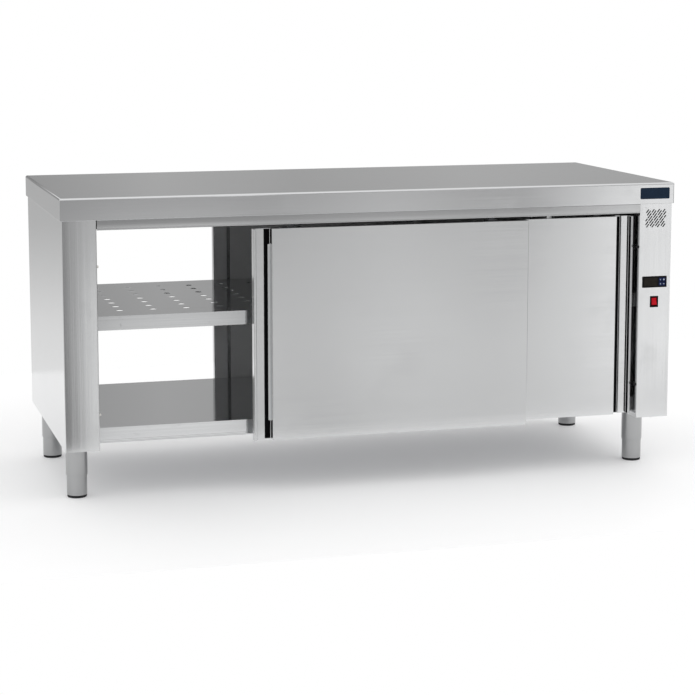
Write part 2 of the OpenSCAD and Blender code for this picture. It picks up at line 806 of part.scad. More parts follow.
// Heating
// A channel open above and below, so that the fan feeds both rows of outlets
module duct_casing() color(DARK_STEEL) {
    half = duct_width / 2;
    x0 = partition_x + body_sheet;
    difference() {
        box([x0, duct_x1], [-half, half], [fan_level - half, fan_level + half]);
        box([x0 - cut, duct_x1 - body_sheet], [-half + body_sheet, half - body_sheet],
            [fan_level - half - cut, fan_level + half + cut]);
        translate([duct_x1 - 5, 0, fan_level]) rotate([0, 90, 0]) cylinder(r = shaft_radius + 9, h = 10);
        for (s = [-1, 1])
            translate([duct_x1 - 5, 0, fan_level]) rotate([0, 90, 0]) rotate(s * (heater_gap + 1.5))
                translate([heater_radius, 0, 0]) cylinder(r = heater_tube - 0.5 + axle_clearance, h = 10);
    }
}

module fan_motor() color(DARK_STEEL) {
    run = body_x1 - body_sheet - 4 - duct_x1;
    plate = 2 * motor_radius + 10;
    // Plate on the casing, finned body and end cap
    translate([duct_x1, 0, fan_level]) rotate([0, 90, 0]) difference() {
        union() {
            translate([-plate / 2, -plate / 2, 0]) cube([plate, plate, 2]);
            cylinder(r = motor_radius - 3, h = run - 6, $fn = 64);
            for (z = [6:6:run - 14])
                translate([0, 0, z]) cylinder(r = motor_radius, h = 3, $fn = 64);
            cylinder(r = motor_radius * 0.7, h = run, $fn = 64);
        }
        translate([0, 0, -cut]) cylinder(r = shaft_radius + axle_clearance, h = 20);
    }
}

// Backward-leaning blades between a back disc and a front ring
module fan_wheel() color(DARK_STEEL) {
    disc = 1.5;
    blade = 24;
    translate([duct_x1 - body_sheet - 6, 0, fan_level]) rotate([0, -90, 0]) {
        cylinder(r = fan_radius, h = disc, $fn = 96);
        cylinder(r = 3 * shaft_radius, h = 14);
        for (k = [0:fan_blades - 1])
            rotate(k * 360 / fan_blades) translate([fan_radius - blade - 2, 0, 0])
                rotate(35) translate([0, -0.6, 0]) cube([blade, 1.2, fan_width]);
        translate([0, 0, fan_width - disc]) difference() {
            cylinder(r = fan_radius, h = disc, $fn = 96);
            translate([0, 0, -cut]) cylinder(r = fan_radius - 14, h = disc + 2 * cut, $fn = 96);
        }
        // Shaft into the motor
        translate([0, 0, -24]) cylinder(r = shaft_radius, h = 30);
    }
}

// Open ring with two thinner tails that run back through the casing
module heating_element() color([0.35, 0.33, 0.32]) {
    x_ring = partition_x + body_sheet + 14;
    translate([x_ring, 0, fan_level]) rotate([0, 90, 0]) {
        rotate(heater_gap) rotate_extrude(angle = 360 - 2 * heater_gap, $fn = 96)
            translate([heater_radius, 0]) circle(heater_tube, $fn = 24);
        for (s = [-1, 1])
            rotate(s * (heater_gap + 1.5)) translate([heater_radius, 0, 0])
                cylinder(r = heater_tube - 0.5, h = duct_x1 - x_ring + 10, $fn = 24);
    }
}

module air_probe() color(STEEL)
    translate([partition_x - 40, probe_y, probe_level]) rotate([0, 90, 0]) {
        cylinder(r = 3, h = 60);
        sphere(3);
        translate([0, 0, 40 - 3]) cylinder(r = 5, h = 3);
    }

module safety_thermostat() color(BLACK)
    translate([duct_x1, thermostat_y, fan_level]) {
        translate([0, -16, -20]) cube([4, 32, 40]);
        rotate([0, 90, 0]) cylinder(r = 12, h = 22);
        for (s = [-1, 1]) translate([18, s * 5 - 1, -3]) cube([12, 2, 6]);
    }

module terminal_block() color(NYLON) {
    pitch = 12;
    translate([partition_x + body_sheet, terminals_y, terminals_level]) difference() {
        cube([24, 6 * pitch, 22]);
        for (k = [0:5]) {
            translate([14, (k + 0.5) * pitch, -cut]) cylinder(r = 3, h = 24, $fn = 24);
            translate([20, k * pitch - 0.5, -cut]) cube([6, 1, 24]);
        }
    }
}

module cable_gland() color(BLACK)
    translate([gland_x, gland_y, underside_height]) difference() {
        union() {
            translate([0, 0, -6]) cylinder(r = 14, h = 6, $fn = 6);
            translate([0, 0, -16]) cylinder(r1 = 9, r2 = 11.5, h = 10);
            translate([0, 0, -cut / 2]) cylinder(r = gland_radius - 0.3, h = 12);
            translate([0, 0, 2]) cylinder(r = 14, h = 5, $fn = 6);
        }
        translate([0, 0, -20]) cylinder(r = 5.5, h = 50);
    }

// Controls
module controller_bezel() color(BLACK) {
    lip = 3;
    translate([column_mid, 0, bezel_level]) difference() {
        union() {
            plate_front(-body_y - lip, lip) square([bezel_width, bezel_height], center = true);
            plate_front(-body_y, 42) square([bezel_width - 6, bezel_height - 6], center = true);
        }
        // Recess of the display and wells of the four keys
        translate([-display_shift(), 0, 0])
            plate_front(-body_y - lip - cut, 1.4 + cut)
                square([display_w() + 0.6, bezel_height - 8], center = true);
        for (i = [0, 1], k = [0, 1])
            translate([key_x(i), 0, key_z(k)])
                plate_front(-body_y - lip - cut, 2.6 + cut) square([key_w() + 1, key_h() + 1], center = true);
    }
}

function display_w() = bezel_width * 0.56;
function display_shift() = bezel_width / 2 - 4 - display_w() / 2;
function key_w() = (bezel_width - display_w() - 12) / 2 - 1.5;
function key_h() = (bezel_height - 9) / 2 - 1.5;
function key_x(i) = bezel_width / 2 - 4 - (key_w() + 1.5) * (i + 0.5);
function key_z(k) = (k - 0.5) * (key_h() + 2);

module display_window() color([0.02, 0.02, 0.03])
    translate([column_mid - display_shift(), 0, bezel_level])
        plate_front(-body_y - 3, 1.4) square([display_w(), bezel_height - 8.6], center = true);

// A key cap with a chamfered rim, 0.3 mm clear of its well and 0.6 mm above its floor
module key(i, k) color(NAVY)
    translate([column_mid + key_x(i), -body_y - 3.4, bezel_level + key_z(k)]) rotate([-90, 0, 0])
        linear_extrude(2.2) square([key_w() + 0.4, key_h() + 0.4], center = true);

module key_up() key(1, 1);
module key_down() key(1, 0);
module key_set() key(0, 1);
module key_menu() key(0, 0);

module switch_bezel() color(BLACK)
    translate([column_mid, 0, switch_level]) difference() {
        union() {
            plate_front(-body_y - 2, 2) square([switch_width, switch_height], center = true);
            plate_front(-body_y, 24) square([switch_width - 5, switch_height - 5], center = true);
        }
        plate_front(-body_y - 2 - cut, 12) square([switch_width - 9, switch_height - 9], center = true);
        // Pivot sockets in the side walls
        translate([0, -body_y + 5, 0]) rotate([0, 90, 0])
            cylinder(r = 1.55, h = switch_width - 6, center = true, $fn = 24);
    }

module switch_rocker() color([0.75, 0.05, 0.05])
    translate([column_mid, -body_y + 5, switch_level]) rotate([-8, 0, 0]) {
        w = switch_width - 9.8;
        h = switch_height - 11.2;
        rotate([90, 0, 90]) translate([0, 0, -w / 2]) linear_extrude(w)
            polygon([[-5.6, 0], [-7.5, h / 2 - 0.6], [-4, h / 2 - 0.3], [3, 4],
                [3, -4], [-4, -h / 2 + 0.3], [-7.5, -h / 2 + 0.6]]);
        rotate([0, 90, 0]) cylinder(r = 1.5, h = switch_width - 6.6, center = true, $fn = 24);
    }

module apron_plate() color(NAVY)
    translate([column_mid - 6, 0, body_top + apron_height / 2])
        plate_front(-depth / 2 - 0.6, 0.6) {
            square([badge_width - 6, badge_height], center = true);
            square([badge_width, badge_height - 6], center = true);
            for (a = [-1, 1], b = [-1, 1])
                translate([a * (badge_width / 2 - 3), b * (badge_height / 2 - 3)]) circle(3, $fn = 24);
        }

// Pan heads under the column, on the rear cover and on the shelf cleats
module screws() color(DARK_STEEL) {
    translate([column_mid, -body_y + 8, underside_height]) rotate([180, 0, 0]) pan_head();
    for (z = [underside_height + cover_screw_inset, body_top - cover_screw_inset],
         x = [chamber_x1 + 14, body_x1 - 8])
        translate([x, body_y, z]) rotate([-90, 0, 0]) pan_head();
    for (side = [0, 1], s = [-1, 1])
        translate([side == 0 ? chamber_x0 + 2 : partition_x - 2, s * shelf_y / 2, cleat_level])
            rotate([0, side == 0 ? 90 : -90, 0]) pan_head();
}

module pan_head() {
    r = 3.5;
    h = 2.4;
    rotate_extrude($fn = 32) {
        square([r - 1, h]);
        square([r, h - 1]);
        translate([r - 1, h - 1]) circle(1, $fn = 16);
    }
}

worktop();
worktop_hats();
left_end_shell();
right_end_shell();
control_column();
rear_column_cover();
partition();
headers();
top_tracks();
chamber_ceiling();
floor_tray();
base_pan();
floor_insulation();
mid_shelf();
shelf_cleats();
centre_guides();
door_stops();
front_left_skin();
front_left_liner();
front_left_hangers();
front_left_roller_a();
front_left_roller_b();
front_right_skin();
front_right_liner();
front_right_hangers();
front_right_roller_a();
front_right_roller_b();
rear_left_skin();
rear_left_liner();
rear_left_hangers();
rear_left_roller_a();
rear_left_roller_b();
rear_right_skin();
rear_right_liner();
rear_right_hangers();
rear_right_roller_a();
rear_right_roller_b();
leg_sleeves();
foot_front_left();
foot_front_right();
foot_rear_left();
foot_rear_right();
duct_casing();
fan_motor();
fan_wheel();
heating_element();
air_probe();
safety_thermostat();
terminal_block();
cable_gland();
controller_bezel();
display_window();
key_up();
key_down();
key_set();
key_menu();
switch_bezel();
switch_rocker();
apron_plate();
screws();
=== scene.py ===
"""Plate warmer cabinet: folded stainless sheet, sliding doors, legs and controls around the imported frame.

Sizes are in metres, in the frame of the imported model: X along the cabinet, Y from front to back, Z up.
"""

import math

import bmesh
import bpy
from mathutils import Matrix, Vector


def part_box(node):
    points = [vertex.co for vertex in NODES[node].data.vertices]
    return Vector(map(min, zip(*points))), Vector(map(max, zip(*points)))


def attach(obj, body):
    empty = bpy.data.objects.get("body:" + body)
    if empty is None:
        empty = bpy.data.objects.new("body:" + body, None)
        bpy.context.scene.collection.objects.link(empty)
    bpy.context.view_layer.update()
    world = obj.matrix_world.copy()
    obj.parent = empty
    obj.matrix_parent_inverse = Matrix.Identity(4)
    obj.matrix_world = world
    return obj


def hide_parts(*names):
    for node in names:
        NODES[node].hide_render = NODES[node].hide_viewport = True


bl_info = {
    "name": "Plate warmer cabinet",
    "version": (1, 0, 0),
    "blender": (4, 5, 0),
    "location": "View3D > Sidebar > Cabinet",
    "description": "Builds the visible pieces, finishes and studio of a plate warmer cabinet",
    "category": "Object",
}

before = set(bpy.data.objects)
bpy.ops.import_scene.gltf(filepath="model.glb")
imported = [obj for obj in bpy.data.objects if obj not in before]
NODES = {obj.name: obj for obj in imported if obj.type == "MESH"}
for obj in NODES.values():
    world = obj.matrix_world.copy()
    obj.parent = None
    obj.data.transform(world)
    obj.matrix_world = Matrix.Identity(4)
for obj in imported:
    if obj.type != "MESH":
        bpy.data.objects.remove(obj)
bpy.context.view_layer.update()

CORNERS = ("front_left", "front_right", "rear_left", "rear_right")


# Settings


def length(name, description, default):
    """A size in metres."""
    return bpy.props.FloatProperty(
        name=name, description=description, default=default, min=0.0, precision=4, unit="LENGTH"
    )


def colour(name, description, default):
    """A plain colour."""
    return bpy.props.FloatVectorProperty(
        name=name, description=description, default=default, subtype="COLOR", size=3, min=0.0, max=1.0
    )


def amount(name, description, default):
    """A share between 0 and 1."""
    return bpy.props.FloatProperty(
        name=name, description=description, default=default, min=0.0, max=1.0, subtype="FACTOR"
    )


def turn(name, description, degrees):
    """An angle, given in degrees."""
    return bpy.props.FloatProperty(
        name=name, description=description, default=math.radians(degrees), unit="ROTATION"
    )


class CabinetSheetSettings(bpy.types.PropertyGroup):
    """Sizes of the folded sheet parts."""

    sheet: length("Sheet", "Thickness of the body sheet", 0.0012)
    top_sheet: length("Top sheet", "Thickness of the worktop sheet", 0.0015)
    bend: length("Bend", "Outer radius of the body's folds", 0.0024)
    top_fold: length("Top fold", "Radius of the worktop's upper edge", 0.006)
    apron_fold: length("Apron fold", "Radius of the fold under the apron", 0.0025)
    return_lip: length("Return lip", "Width of the lip under the apron", 0.015)
    door_sheet: length("Door sheet", "Thickness of the door sheet", 0.001)
    door_bend: length("Door bend", "Outer radius of the folds of a door", 0.0018)
    grip_lip: length("Grip lip", "Width of the lip at a door's leading edge", 0.007)
    grip_strip: length("Grip strip", "Width of the set-back strip", 0.026)
    grip_groove: length("Grip groove", "Width of the finger groove", 0.019)
    strip_depth: length("Strip depth", "Depth of the strip behind the door's face", 0.016)
    door_return: length("Door return", "How far a door's edges fold back", 0.0228)
    groove_depth: length("Groove depth", "Depth of the groove behind the door's face", 0.022)
    bow: length("Bow", "How far the faces of the end box bow", 0.0005)
    header_flange: length("Header flange", "Width of a header's flange under the worktop", 0.052)
    header_hem: length("Header hem", "Width of the lip at a header's lower edge", 0.0025)
    grille_drop: length("Grille drop", "From the column's top to the grille's centre", 0.043)
    # The sheet behind the grille is painted shade that darkens its slots.
    filter_width: length("Filter width", "Width of the cloth behind the grille", 0.072)
    shadow_sheet_height: length("Filter height", "Height of the cloth behind the grille", 0.06)
    liner_margin: length("Liner margin", "Flat rim round the pressed inner panel", 0.058)
    liner_step: length("Liner step", "Depth of the pressed inner panel", 0.002)


class CabinetLegSettings(bpy.types.PropertyGroup):
    """Sizes of the legs."""

    sleeve_radius: length("Sleeve radius", "Outer radius of the fixed sleeve", 0.0305)
    sleeve_wall: length("Sleeve wall", "Thickness of the sleeve", 0.0014)
    sleeve_head: length("Sleeve head", "Thickness of the sleeve's closed end", 0.005)
    tube_radius: length("Tube radius", "Outer radius of the foot's tube", 0.0285)
    tube_height: length("Tube height", "Length of the foot's tube", 0.095)
    pad_height: length("Pad height", "Height of the black pad", 0.007)
    pad_radius: length("Pad radius", "Largest radius of the black pad", 0.0275)
    stem_radius: length("Stem radius", "Radius over the thread of the stem", 0.005)
    thread_depth: length("Thread depth", "Depth of the stem's thread", 0.0007)
    thread_turns: bpy.props.IntProperty(name="Thread turns", description="Turns of the thread", default=34, min=1)


class CabinetControlSettings(bpy.types.PropertyGroup):
    """Sizes of the controller, the switch and the blank plate."""

    controller_rim: length("Controller rim", "Width of the controller's flat rim", 0.0032)
    controller_well: length("Controller well", "Depth of the controller's sunk field", 0.0008)
    switch_rim: length("Switch rim", "Width of the switch's flat rim", 0.0045)
    switch_well: length("Switch well", "Depth of the opening for the rocker", 0.011)
    mark_radius: length("Mark radius", "Radius of the raised mark on a key", 0.0023)
    rocker_width: length("Rocker width", "Width of the rocker", 0.0152)
    rocker_height: length("Rocker height", "Height of the rocker", 0.0218)
    rocker_tilt: turn("Rocker tilt", "Lean of the rocker to its set side", 8.0)
    plate_corner: length("Plate corner", "Radius of the blank plate's corners", 0.0035)
    plate_rim: length("Plate rim", "Width of the blank plate's fine rim", 0.0012)


class CabinetFinishSettings(bpy.types.PropertyGroup):
    """Colours and surface of the finishes."""

    steel: colour("Steel", "Colour of the brushed outer sheet", (0.66, 0.665, 0.67))
    top_steel: colour("Worktop steel", "Colour of the worktop sheet", (0.6, 0.605, 0.61))
    inner_steel: colour("Inner steel", "Colour of the smooth sheet inside", (0.52, 0.525, 0.53))
    zinc: colour("Zinc", "Colour of the zinc-coated fittings", (0.36, 0.37, 0.39))
    black: colour("Black", "Colour of the black mouldings", (0.012, 0.012, 0.013))
    navy: colour("Navy", "Colour of the keypad", (0.012, 0.022, 0.075))
    plate: colour("Apron plate", "Colour of the blank plate", (0.016, 0.032, 0.06))
    red: colour("Rocker", "Colour of the rocker", (0.5, 0.003, 0.012))
    mark: colour("Key marks", "Colour of the marks on the keys", (0.5, 0.55, 0.62))
    nylon: colour("Nylon", "Colour of the nylon parts", (0.78, 0.77, 0.72))
    roughness: amount("Steel roughness", "Roughness of the brushed sheet", 0.14)
    grain: amount("Grain", "Strength of the brushed lines", 0.35)


class CabinetStudioSettings(bpy.types.PropertyGroup):
    """Camera and light of the studio."""

    place: bpy.props.FloatVectorProperty(
        name="Camera place", description="Where the camera stands", default=(-1.617, -5.713, 1.382), unit="LENGTH"
    )
    yaw: turn("Yaw", "Turn of the view to the right of +Y", 15.91)
    pitch: turn("Pitch", "Slope of the view below level", 7.97)
    lens: bpy.props.FloatProperty(name="Lens", description="Focal length in millimetres", default=103.36)
    shift: bpy.props.FloatProperty(name="Shift", description="Vertical shift of the frame", default=-0.1)
    floor: colour("Floor", "Colour of the studio floor", (0.77, 0.77, 0.77))
    glow: colour("Glow", "Light that the floor gives off", (0.22, 0.22, 0.222))
    floor_length: length("Floor length", "Size of the floor along X", 4.0)
    floor_depth: length("Floor depth", "Size of the floor along Y", 2.7)
    floor_shift: length("Floor shift", "Distance of its middle behind the cabinet's", 0.3)


# Shader nodes


class Wire:
    """A node's output, or a sum or product of outputs, that takes part in Python arithmetic."""

    def __init__(self, finish, socket):
        self.finish = finish
        self.socket = socket

    def maths(self, operation, *values):
        """Add a Math node on wires or numbers."""
        inputs = dict(enumerate(values))
        return self.finish.node("ShaderNodeMath", {"operation": operation}, inputs)

    def __add__(self, other):
        return self.maths("ADD", self, other)

    def __sub__(self, other):
        return self.maths("SUBTRACT", self, other)

    def __rsub__(self, other):
        return self.maths("SUBTRACT", other, self)

    def __mul__(self, other):
        return self.maths("MULTIPLY", self, other)

    __radd__ = __add__
    __rmul__ = __mul__


class Finish:
    """A node tree, with what adds nodes to it."""

    def __init__(self, tree, shader):
        self.tree = tree
        self.shader = tree.nodes[shader]

    def node(self, kind, settings=None, inputs=None, output=0):
        """Add a node, give it its settings and then the values or links of its sockets."""
        made = self.tree.nodes.new(kind)
        settings = dict(settings or {})
        stops = settings.pop("stops", ())
        for key, value in settings.items():
            setattr(made, key, value)
        if stops:
            ramp = made.color_ramp.elements
            while len(ramp) < len(stops):
                ramp.new(0.5)
            for element, (place, tone) in zip(ramp, stops):
                element.position = place
                element.color = (*tone, 1.0) if isinstance(tone, tuple) else (tone, tone, tone, 1.0)
        self.feed(made, inputs or {})
        return Wire(self, made.outputs[output])

    def feed(self, node, inputs):
        """Link wires to a node's sockets and set plain values on them."""
        for key, value in inputs.items():
            socket = node.inputs[key]
            if isinstance(value, Wire):
                self.tree.links.new(value.socket, socket)
            elif socket.type == "RGBA" and len(value) == 3:
                socket.default_value = (*value, 1.0)
            else:
                socket.default_value = value

    def surface(self, **inputs):
        """Set the shader's own sockets; a name's underscores stand for spaces."""
        self.feed(self.shader, {key.replace("_", " "): value for key, value in inputs.items()})

    def place(self):
        """The place on the piece, in the frame's metres."""
        return self.node("ShaderNodeTexCoord", output="Object")

    def noise(self, scale, detail=3.0, roughness=0.5):
        """Noise between 0 and 1, with its own scale along each axis if three are given."""
        scales = scale if isinstance(scale, tuple) else (scale,) * 3
        stretched = self.node("ShaderNodeMapping", inputs={"Vector": self.place(), "Scale": scales})
        inputs = {"Vector": stretched, "Scale": 1.0, "Detail": detail, "Roughness": roughness}
        return self.node("ShaderNodeTexNoise", {}, inputs)

    def spread(self, value, low, high):
        """Stretch a narrow band of values over 0 to 1."""
        return self.node("ShaderNodeMapRange", {}, {"Value": value, "From Min": low, "From Max": high})

    def tint(self, factor, low, high):
        """A colour between two others."""
        mix = {"data_type": "RGBA"}
        return self.node("ShaderNodeMix", mix, {"Factor": factor, 6: low, 7: high}, output=2)

    def bump(self, height, distance):
        """Relief of a pattern, with its depth in metres."""
        return self.node("ShaderNodeBump", inputs={"Height": height, "Distance": distance})


def new_finish(name):
    """A material and the finish that adds its nodes."""
    material = bpy.data.materials.new(name)
    material.use_nodes = True
    return material, Finish(material.node_tree, "Principled BSDF")


def shade(rgb, factor):
    """A colour made darker or lighter."""
    return tuple(min(1.0, part * factor) for part in rgb)


def brushed_steel(name, tone, roughness, grain, axis=0):
    """Sheet with brushed lines along an axis, faint handling haze and uneven polish."""
    material, finish = new_finish(name)
    along = tuple(2.2 if i == axis else 240.0 for i in range(3))
    broad = tuple(0.7 if i == axis else 34.0 for i in range(3))
    lines = finish.noise(along, detail=5.0, roughness=0.7)
    bands = finish.noise(broad, detail=2.0)
    clouds = finish.noise(3.1, detail=2.0)
    smears = finish.spread(finish.noise(9.0, detail=4.0, roughness=0.6), 0.56, 0.78)
    streaks = (lines - 0.5) * (0.5 * grain) + (bands - 0.5) * (0.16 * grain)
    sheen = finish.spread(streaks + (clouds - 0.5) * 0.25, -0.22, 0.22)
    finish.surface(
        Metallic=1.0,
        Base_Color=finish.tint(sheen, shade(tone, 0.95), shade(tone, 1.04)),
        Roughness=streaks * 0.55 + (clouds - 0.5) * 0.08 + smears * 0.035 + roughness,
        Normal=finish.bump(lines + bands * 0.12, 0.00012 * grain),
    )
    return material


def smooth_steel(name, tone, roughness, metallic=1.0):
    """Bright-rolled sheet: nearly a mirror, with faint rolling lines, waves and dust."""
    material, finish = new_finish(name)
    lines = finish.noise((1.2, 160.0, 160.0), detail=3.0)
    waves = finish.noise(2.3, detail=1.0)
    dust = finish.spread(finish.noise(42.0, detail=5.0, roughness=0.7), 0.6, 0.8)
    finish.surface(
        Metallic=metallic,
        Base_Color=finish.tint(dust * 0.6 + (lines - 0.5) * 0.2, tone, shade(tone, 0.88)),
        Roughness=(lines - 0.5) * 0.05 + dust * 0.12 + (waves - 0.5) * 0.05 + roughness,
        Normal=finish.bump(waves * 4.0 + lines * 0.1, 0.0004),
    )
    return material


def zinc_coat(name, tone):
    """Zinc-coated sheet with its crystal pattern."""
    material, finish = new_finish(name)
    crystals = finish.node(
        "ShaderNodeTexVoronoi", {"feature": "F1"}, {"Vector": finish.place(), "Scale": 130.0}, output="Color"
    )
    level = finish.node("ShaderNodeSeparateColor", inputs={"Color": crystals})
    stain = finish.noise(25.0, detail=4.0)
    finish.surface(
        Metallic=1.0,
        Base_Color=finish.tint(level * 0.6 + stain * 0.4, shade(tone, 0.8), shade(tone, 1.15)),
        Roughness=level * 0.16 + stain * 0.1 + 0.32,
        Normal=finish.bump(level, 0.00003),
    )
    return material


def moulded(name, tone, roughness, pitch=2600.0, wear=0.12, gloss=0.3, ior=1.45):
    """Moulded plastic or rubber with a fine grain and slightly polished patches."""
    material, finish = new_finish(name)
    pores = finish.noise(pitch, detail=2.0)
    patches = finish.noise(60.0, detail=3.0)
    finish.surface(
        Base_Color=finish.tint(patches, shade(tone, 0.85), shade(tone, 1.25)),
        Roughness=(patches - 0.5) * wear + (pores - 0.5) * 0.1 + roughness,
        Normal=finish.bump(pores, 0.00002),
        Specular_IOR_Level=gloss,
        IOR=ior,
    )
    return material


def display_glass(name, tone):
    """Dark window over a faint, unlit readout."""
    material, finish = new_finish(name)
    rows = finish.node(
        "ShaderNodeTexWave", {"bands_direction": "Z"}, {"Vector": finish.place(), "Scale": 120.0, "Distortion": 1.5}
    )
    smudge = finish.noise(90.0, detail=3.0)
    finish.surface(
        Base_Color=finish.tint(rows * smudge, tone, (0.05, 0.042, 0.03)),
        Roughness=smudge * 0.2 + 0.2,
        Specular_IOR_Level=0.12,
    )
    return material


def heated_alloy(name, tone):
    """Heating tube with straw and blue temper colours."""
    material, finish = new_finish(name)
    heat = finish.noise(14.0, detail=3.0)
    stops = ((0.3, tone), (0.5, (0.3, 0.22, 0.13)), (0.7, (0.14, 0.13, 0.2)))
    finish.surface(
        Metallic=1.0,
        Base_Color=finish.node("ShaderNodeValToRGB", {"stops": stops}, {"Fac": heat}),
        Roughness=heat * 0.3 + 0.35,
    )
    return material


def wool(name, tone):
    """Mineral wool: matted fibres."""
    material, finish = new_finish(name)
    fibres = finish.noise((60.0, 600.0, 600.0), detail=4.0)
    finish.surface(
        Base_Color=finish.tint(fibres, (0.45, 0.36, 0.16), tone),
        Roughness=fibres * 0.1 + 0.85,
        Normal=finish.bump(fibres, 0.002),
    )
    return material


def recipes(look):
    """Each finish: the function that makes it, its colour and what else it takes."""
    brushed = {"roughness": look.roughness, "grain": look.grain}
    polished = {"roughness": look.roughness - 0.02, "grain": look.grain}
    bright = {"roughness": 0.1}
    dull = {"roughness": 0.45, "gloss": 0.12}
    return {
        "worktop_steel": (brushed_steel, look.top_steel, polished),
        "front_steel": (brushed_steel, look.steel, brushed),
        # painted shade: the header's steel darkened for the shadow under the worktop's apron
        "header_steel": (brushed_steel, shade(look.steel, 0.72), brushed),
        "side_steel": (brushed_steel, look.steel, {**brushed, "axis": 1}),
        "upright_steel": (brushed_steel, look.steel, {**brushed, "axis": 2}),
        # painted shade: the legs' steel darkened because they mirror the shadowed floor under the cabinet
        "leg_steel": (smooth_steel, shade(look.steel, 0.6), bright),
        "inner_steel": (smooth_steel, look.inner_steel, bright),
        "tray_steel": (smooth_steel, shade(look.inner_steel, 1.2), bright),
        # painted light: the inner steel made lighter and less metallic so that the doors' shaded insides pick up light
        "liner_steel": (smooth_steel, shade(look.inner_steel, 1.5), {"roughness": 0.34, "metallic": 0.2}),
        "zinc": (zinc_coat, look.zinc, {}),
        # painted shade: a darkened copy of zinc for the hangers and tracks in the shadowed gap above the doors
        "dark_zinc": (zinc_coat, shade(look.zinc, 0.3), {}),
        "black_plastic": (moulded, shade(look.black, 0.5), dull),
        "keypad": (moulded, look.navy, dull),
        "key_mark": (moulded, look.mark, {"roughness": 0.5, "gloss": 0.2}),
        "red_plastic": (moulded, look.red, {"roughness": 0.4, "gloss": 0.2}),
        "apron_plate": (moulded, shade(look.plate, 0.8), {**dull, "wear": 0.05}),
        "black_rubber": (moulded, shade(look.black, 1.6), {"roughness": 0.72, "pitch": 1400.0}),
        # painted shade: a near-black matte sheet with almost no reflection, standing in for the shadow in the grip
        # grooves and behind the grille's slots
        "grip_lining": (moulded, shade(look.black, 0.4), {"roughness": 0.8, "gloss": 0.1, "ior": 1.03}),
        "nylon": (moulded, look.nylon, {"roughness": 0.45}),
        "display": (display_glass, shade(look.black, 0.5), {}),
        "heated_alloy": (heated_alloy, (0.16, 0.14, 0.13), {}),
        "wool": (wool, (0.78, 0.7, 0.42), {}),
    }


class Finishes(dict):
    """The materials by name, each made when it is first asked for."""

    def __missing__(self, name):
        maker, tone, others = recipes(bpy.context.scene.cabinet_finish)[name]
        self[name] = maker(name, tone, **others)
        return self[name]


FINISHES = Finishes()


# Making pieces

SMOOTH_ANGLE = math.radians(35)
ROUND_ANGLE = math.radians(40)
TINY = 1e-5


def dress(finish, *nodes):
    """Give CAD nodes a finish in their own material slots."""
    for node in nodes:
        for slot in NODES[node].material_slots:
            slot.material = FINISHES[finish]


def add_piece(mesh, name, body, finishes, nodes=(), thickness=0.0):
    """Make a bmesh an object that rides on a body and stands for CAD nodes."""
    data = bpy.data.meshes.new(name)
    mesh.to_mesh(data)
    mesh.free()
    for finish in finishes:
        data.materials.append(FINISHES[finish])
    data.polygons.foreach_set("use_smooth", [True] * len(data.polygons))
    data.set_sharp_from_angle(angle=SMOOTH_ANGLE)
    piece = bpy.data.objects.new(name, data)
    bpy.context.collection.objects.link(piece)
    if thickness:
        wall = piece.modifiers.new("Sheet", "SOLIDIFY")
        wall.thickness = thickness
        wall.offset = -1.0
    piece.modifiers.new("Normals", "WEIGHTED_NORMAL").keep_sharp = True
    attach(piece, body)
    if nodes:
        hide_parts(*nodes)
    return piece


def round_edges(mesh, edges, radius, segments=3):
    """Bevel edges to a radius."""
    edges = list(edges)
    bmesh.ops.bevel(
        mesh, geom=edges, offset=radius, affect="EDGES", segments=segments, profile=0.5, material=-1, clamp_overlap=True
    )


def block(low, high):
    """A bmesh box between two corners."""
    mesh = bmesh.new()
    low, high = Vector(low), Vector(high)
    size = Matrix.Diagonal((*(high - low), 1.0))
    bmesh.ops.create_cube(mesh, size=1.0, matrix=Matrix.Translation((low + high) / 2) @ size)
    return mesh


def rounded_block(low, high, radius, segments=3):
    """A box with round edges."""
    mesh = block(low, high)
    round_edges(mesh, mesh.edges, radius, segments)
    return mesh


def folds_of(mesh):
    """The edges where two faces meet."""
    return [e for e in mesh.edges if len(e.link_faces) == 2]


def drawn_points(geometry):
    """The vertices among what an extrusion made."""
    return [part for part in geometry if isinstance(part, bmesh.types.BMVert)]


def soften(width, *nodes):
    """Round the edges of CAD nodes with live modifiers, which leave their meshes as they are."""
    for node in nodes:
        piece = NODES[node]
        piece.modifiers.new("Weld", "WELD").merge_threshold = TINY
        edge = piece.modifiers.new("Edge", "BEVEL")
        edge.width = width
        edge.segments = 2
        edge.limit_method = "ANGLE"
        edge.angle_limit = ROUND_ANGLE
        edge.harden_normals = True


def folded_sheet(path, low, high, bend, axis="Z", closed=False):
    """A sheet that runs along a path and is drawn out along an axis; its outside is on the path's right."""
    mesh = bmesh.new()
    place = {"Z": lambda a, b, c: (a, b, c), "X": lambda a, b, c: (c, a, b)}[axis]
    foot = [mesh.verts.new(place(a, b, low)) for a, b in path]
    ends = foot[1:] + foot[:1] if closed else foot[1:]
    edges = [mesh.edges.new(pair) for pair in zip(foot, ends)]
    drawn = bmesh.ops.extrude_edge_only(mesh, edges=edges)["geom"]
    bmesh.ops.translate(mesh, vec=place(0, 0, high - low), verts=drawn_points(drawn))
    mesh.normal_update()
    run = Vector(path[1]) - Vector(path[0])
    outside = Vector(place(run.y, -run.x, 0))
    first = next(f for f in mesh.faces if foot[0] in f.verts and foot[1] in f.verts)
    if first.normal.dot(outside) < 0:
        bmesh.ops.reverse_faces(mesh, faces=mesh.faces)
    round_edges(mesh, folds_of(mesh), bend, 4)
    return mesh


def bowed(start, end, rise, steps=5):
    """Points from start to end on a shallow bow that stands out to the right."""
    start, end = Vector(start), Vector(end)
    run = end - start
    aside = Vector((run.y, -run.x)).normalized() * rise
    return [tuple(start + run * k / steps + aside * 4 * k * (steps - k) / steps**2) for k in range(steps + 1)]


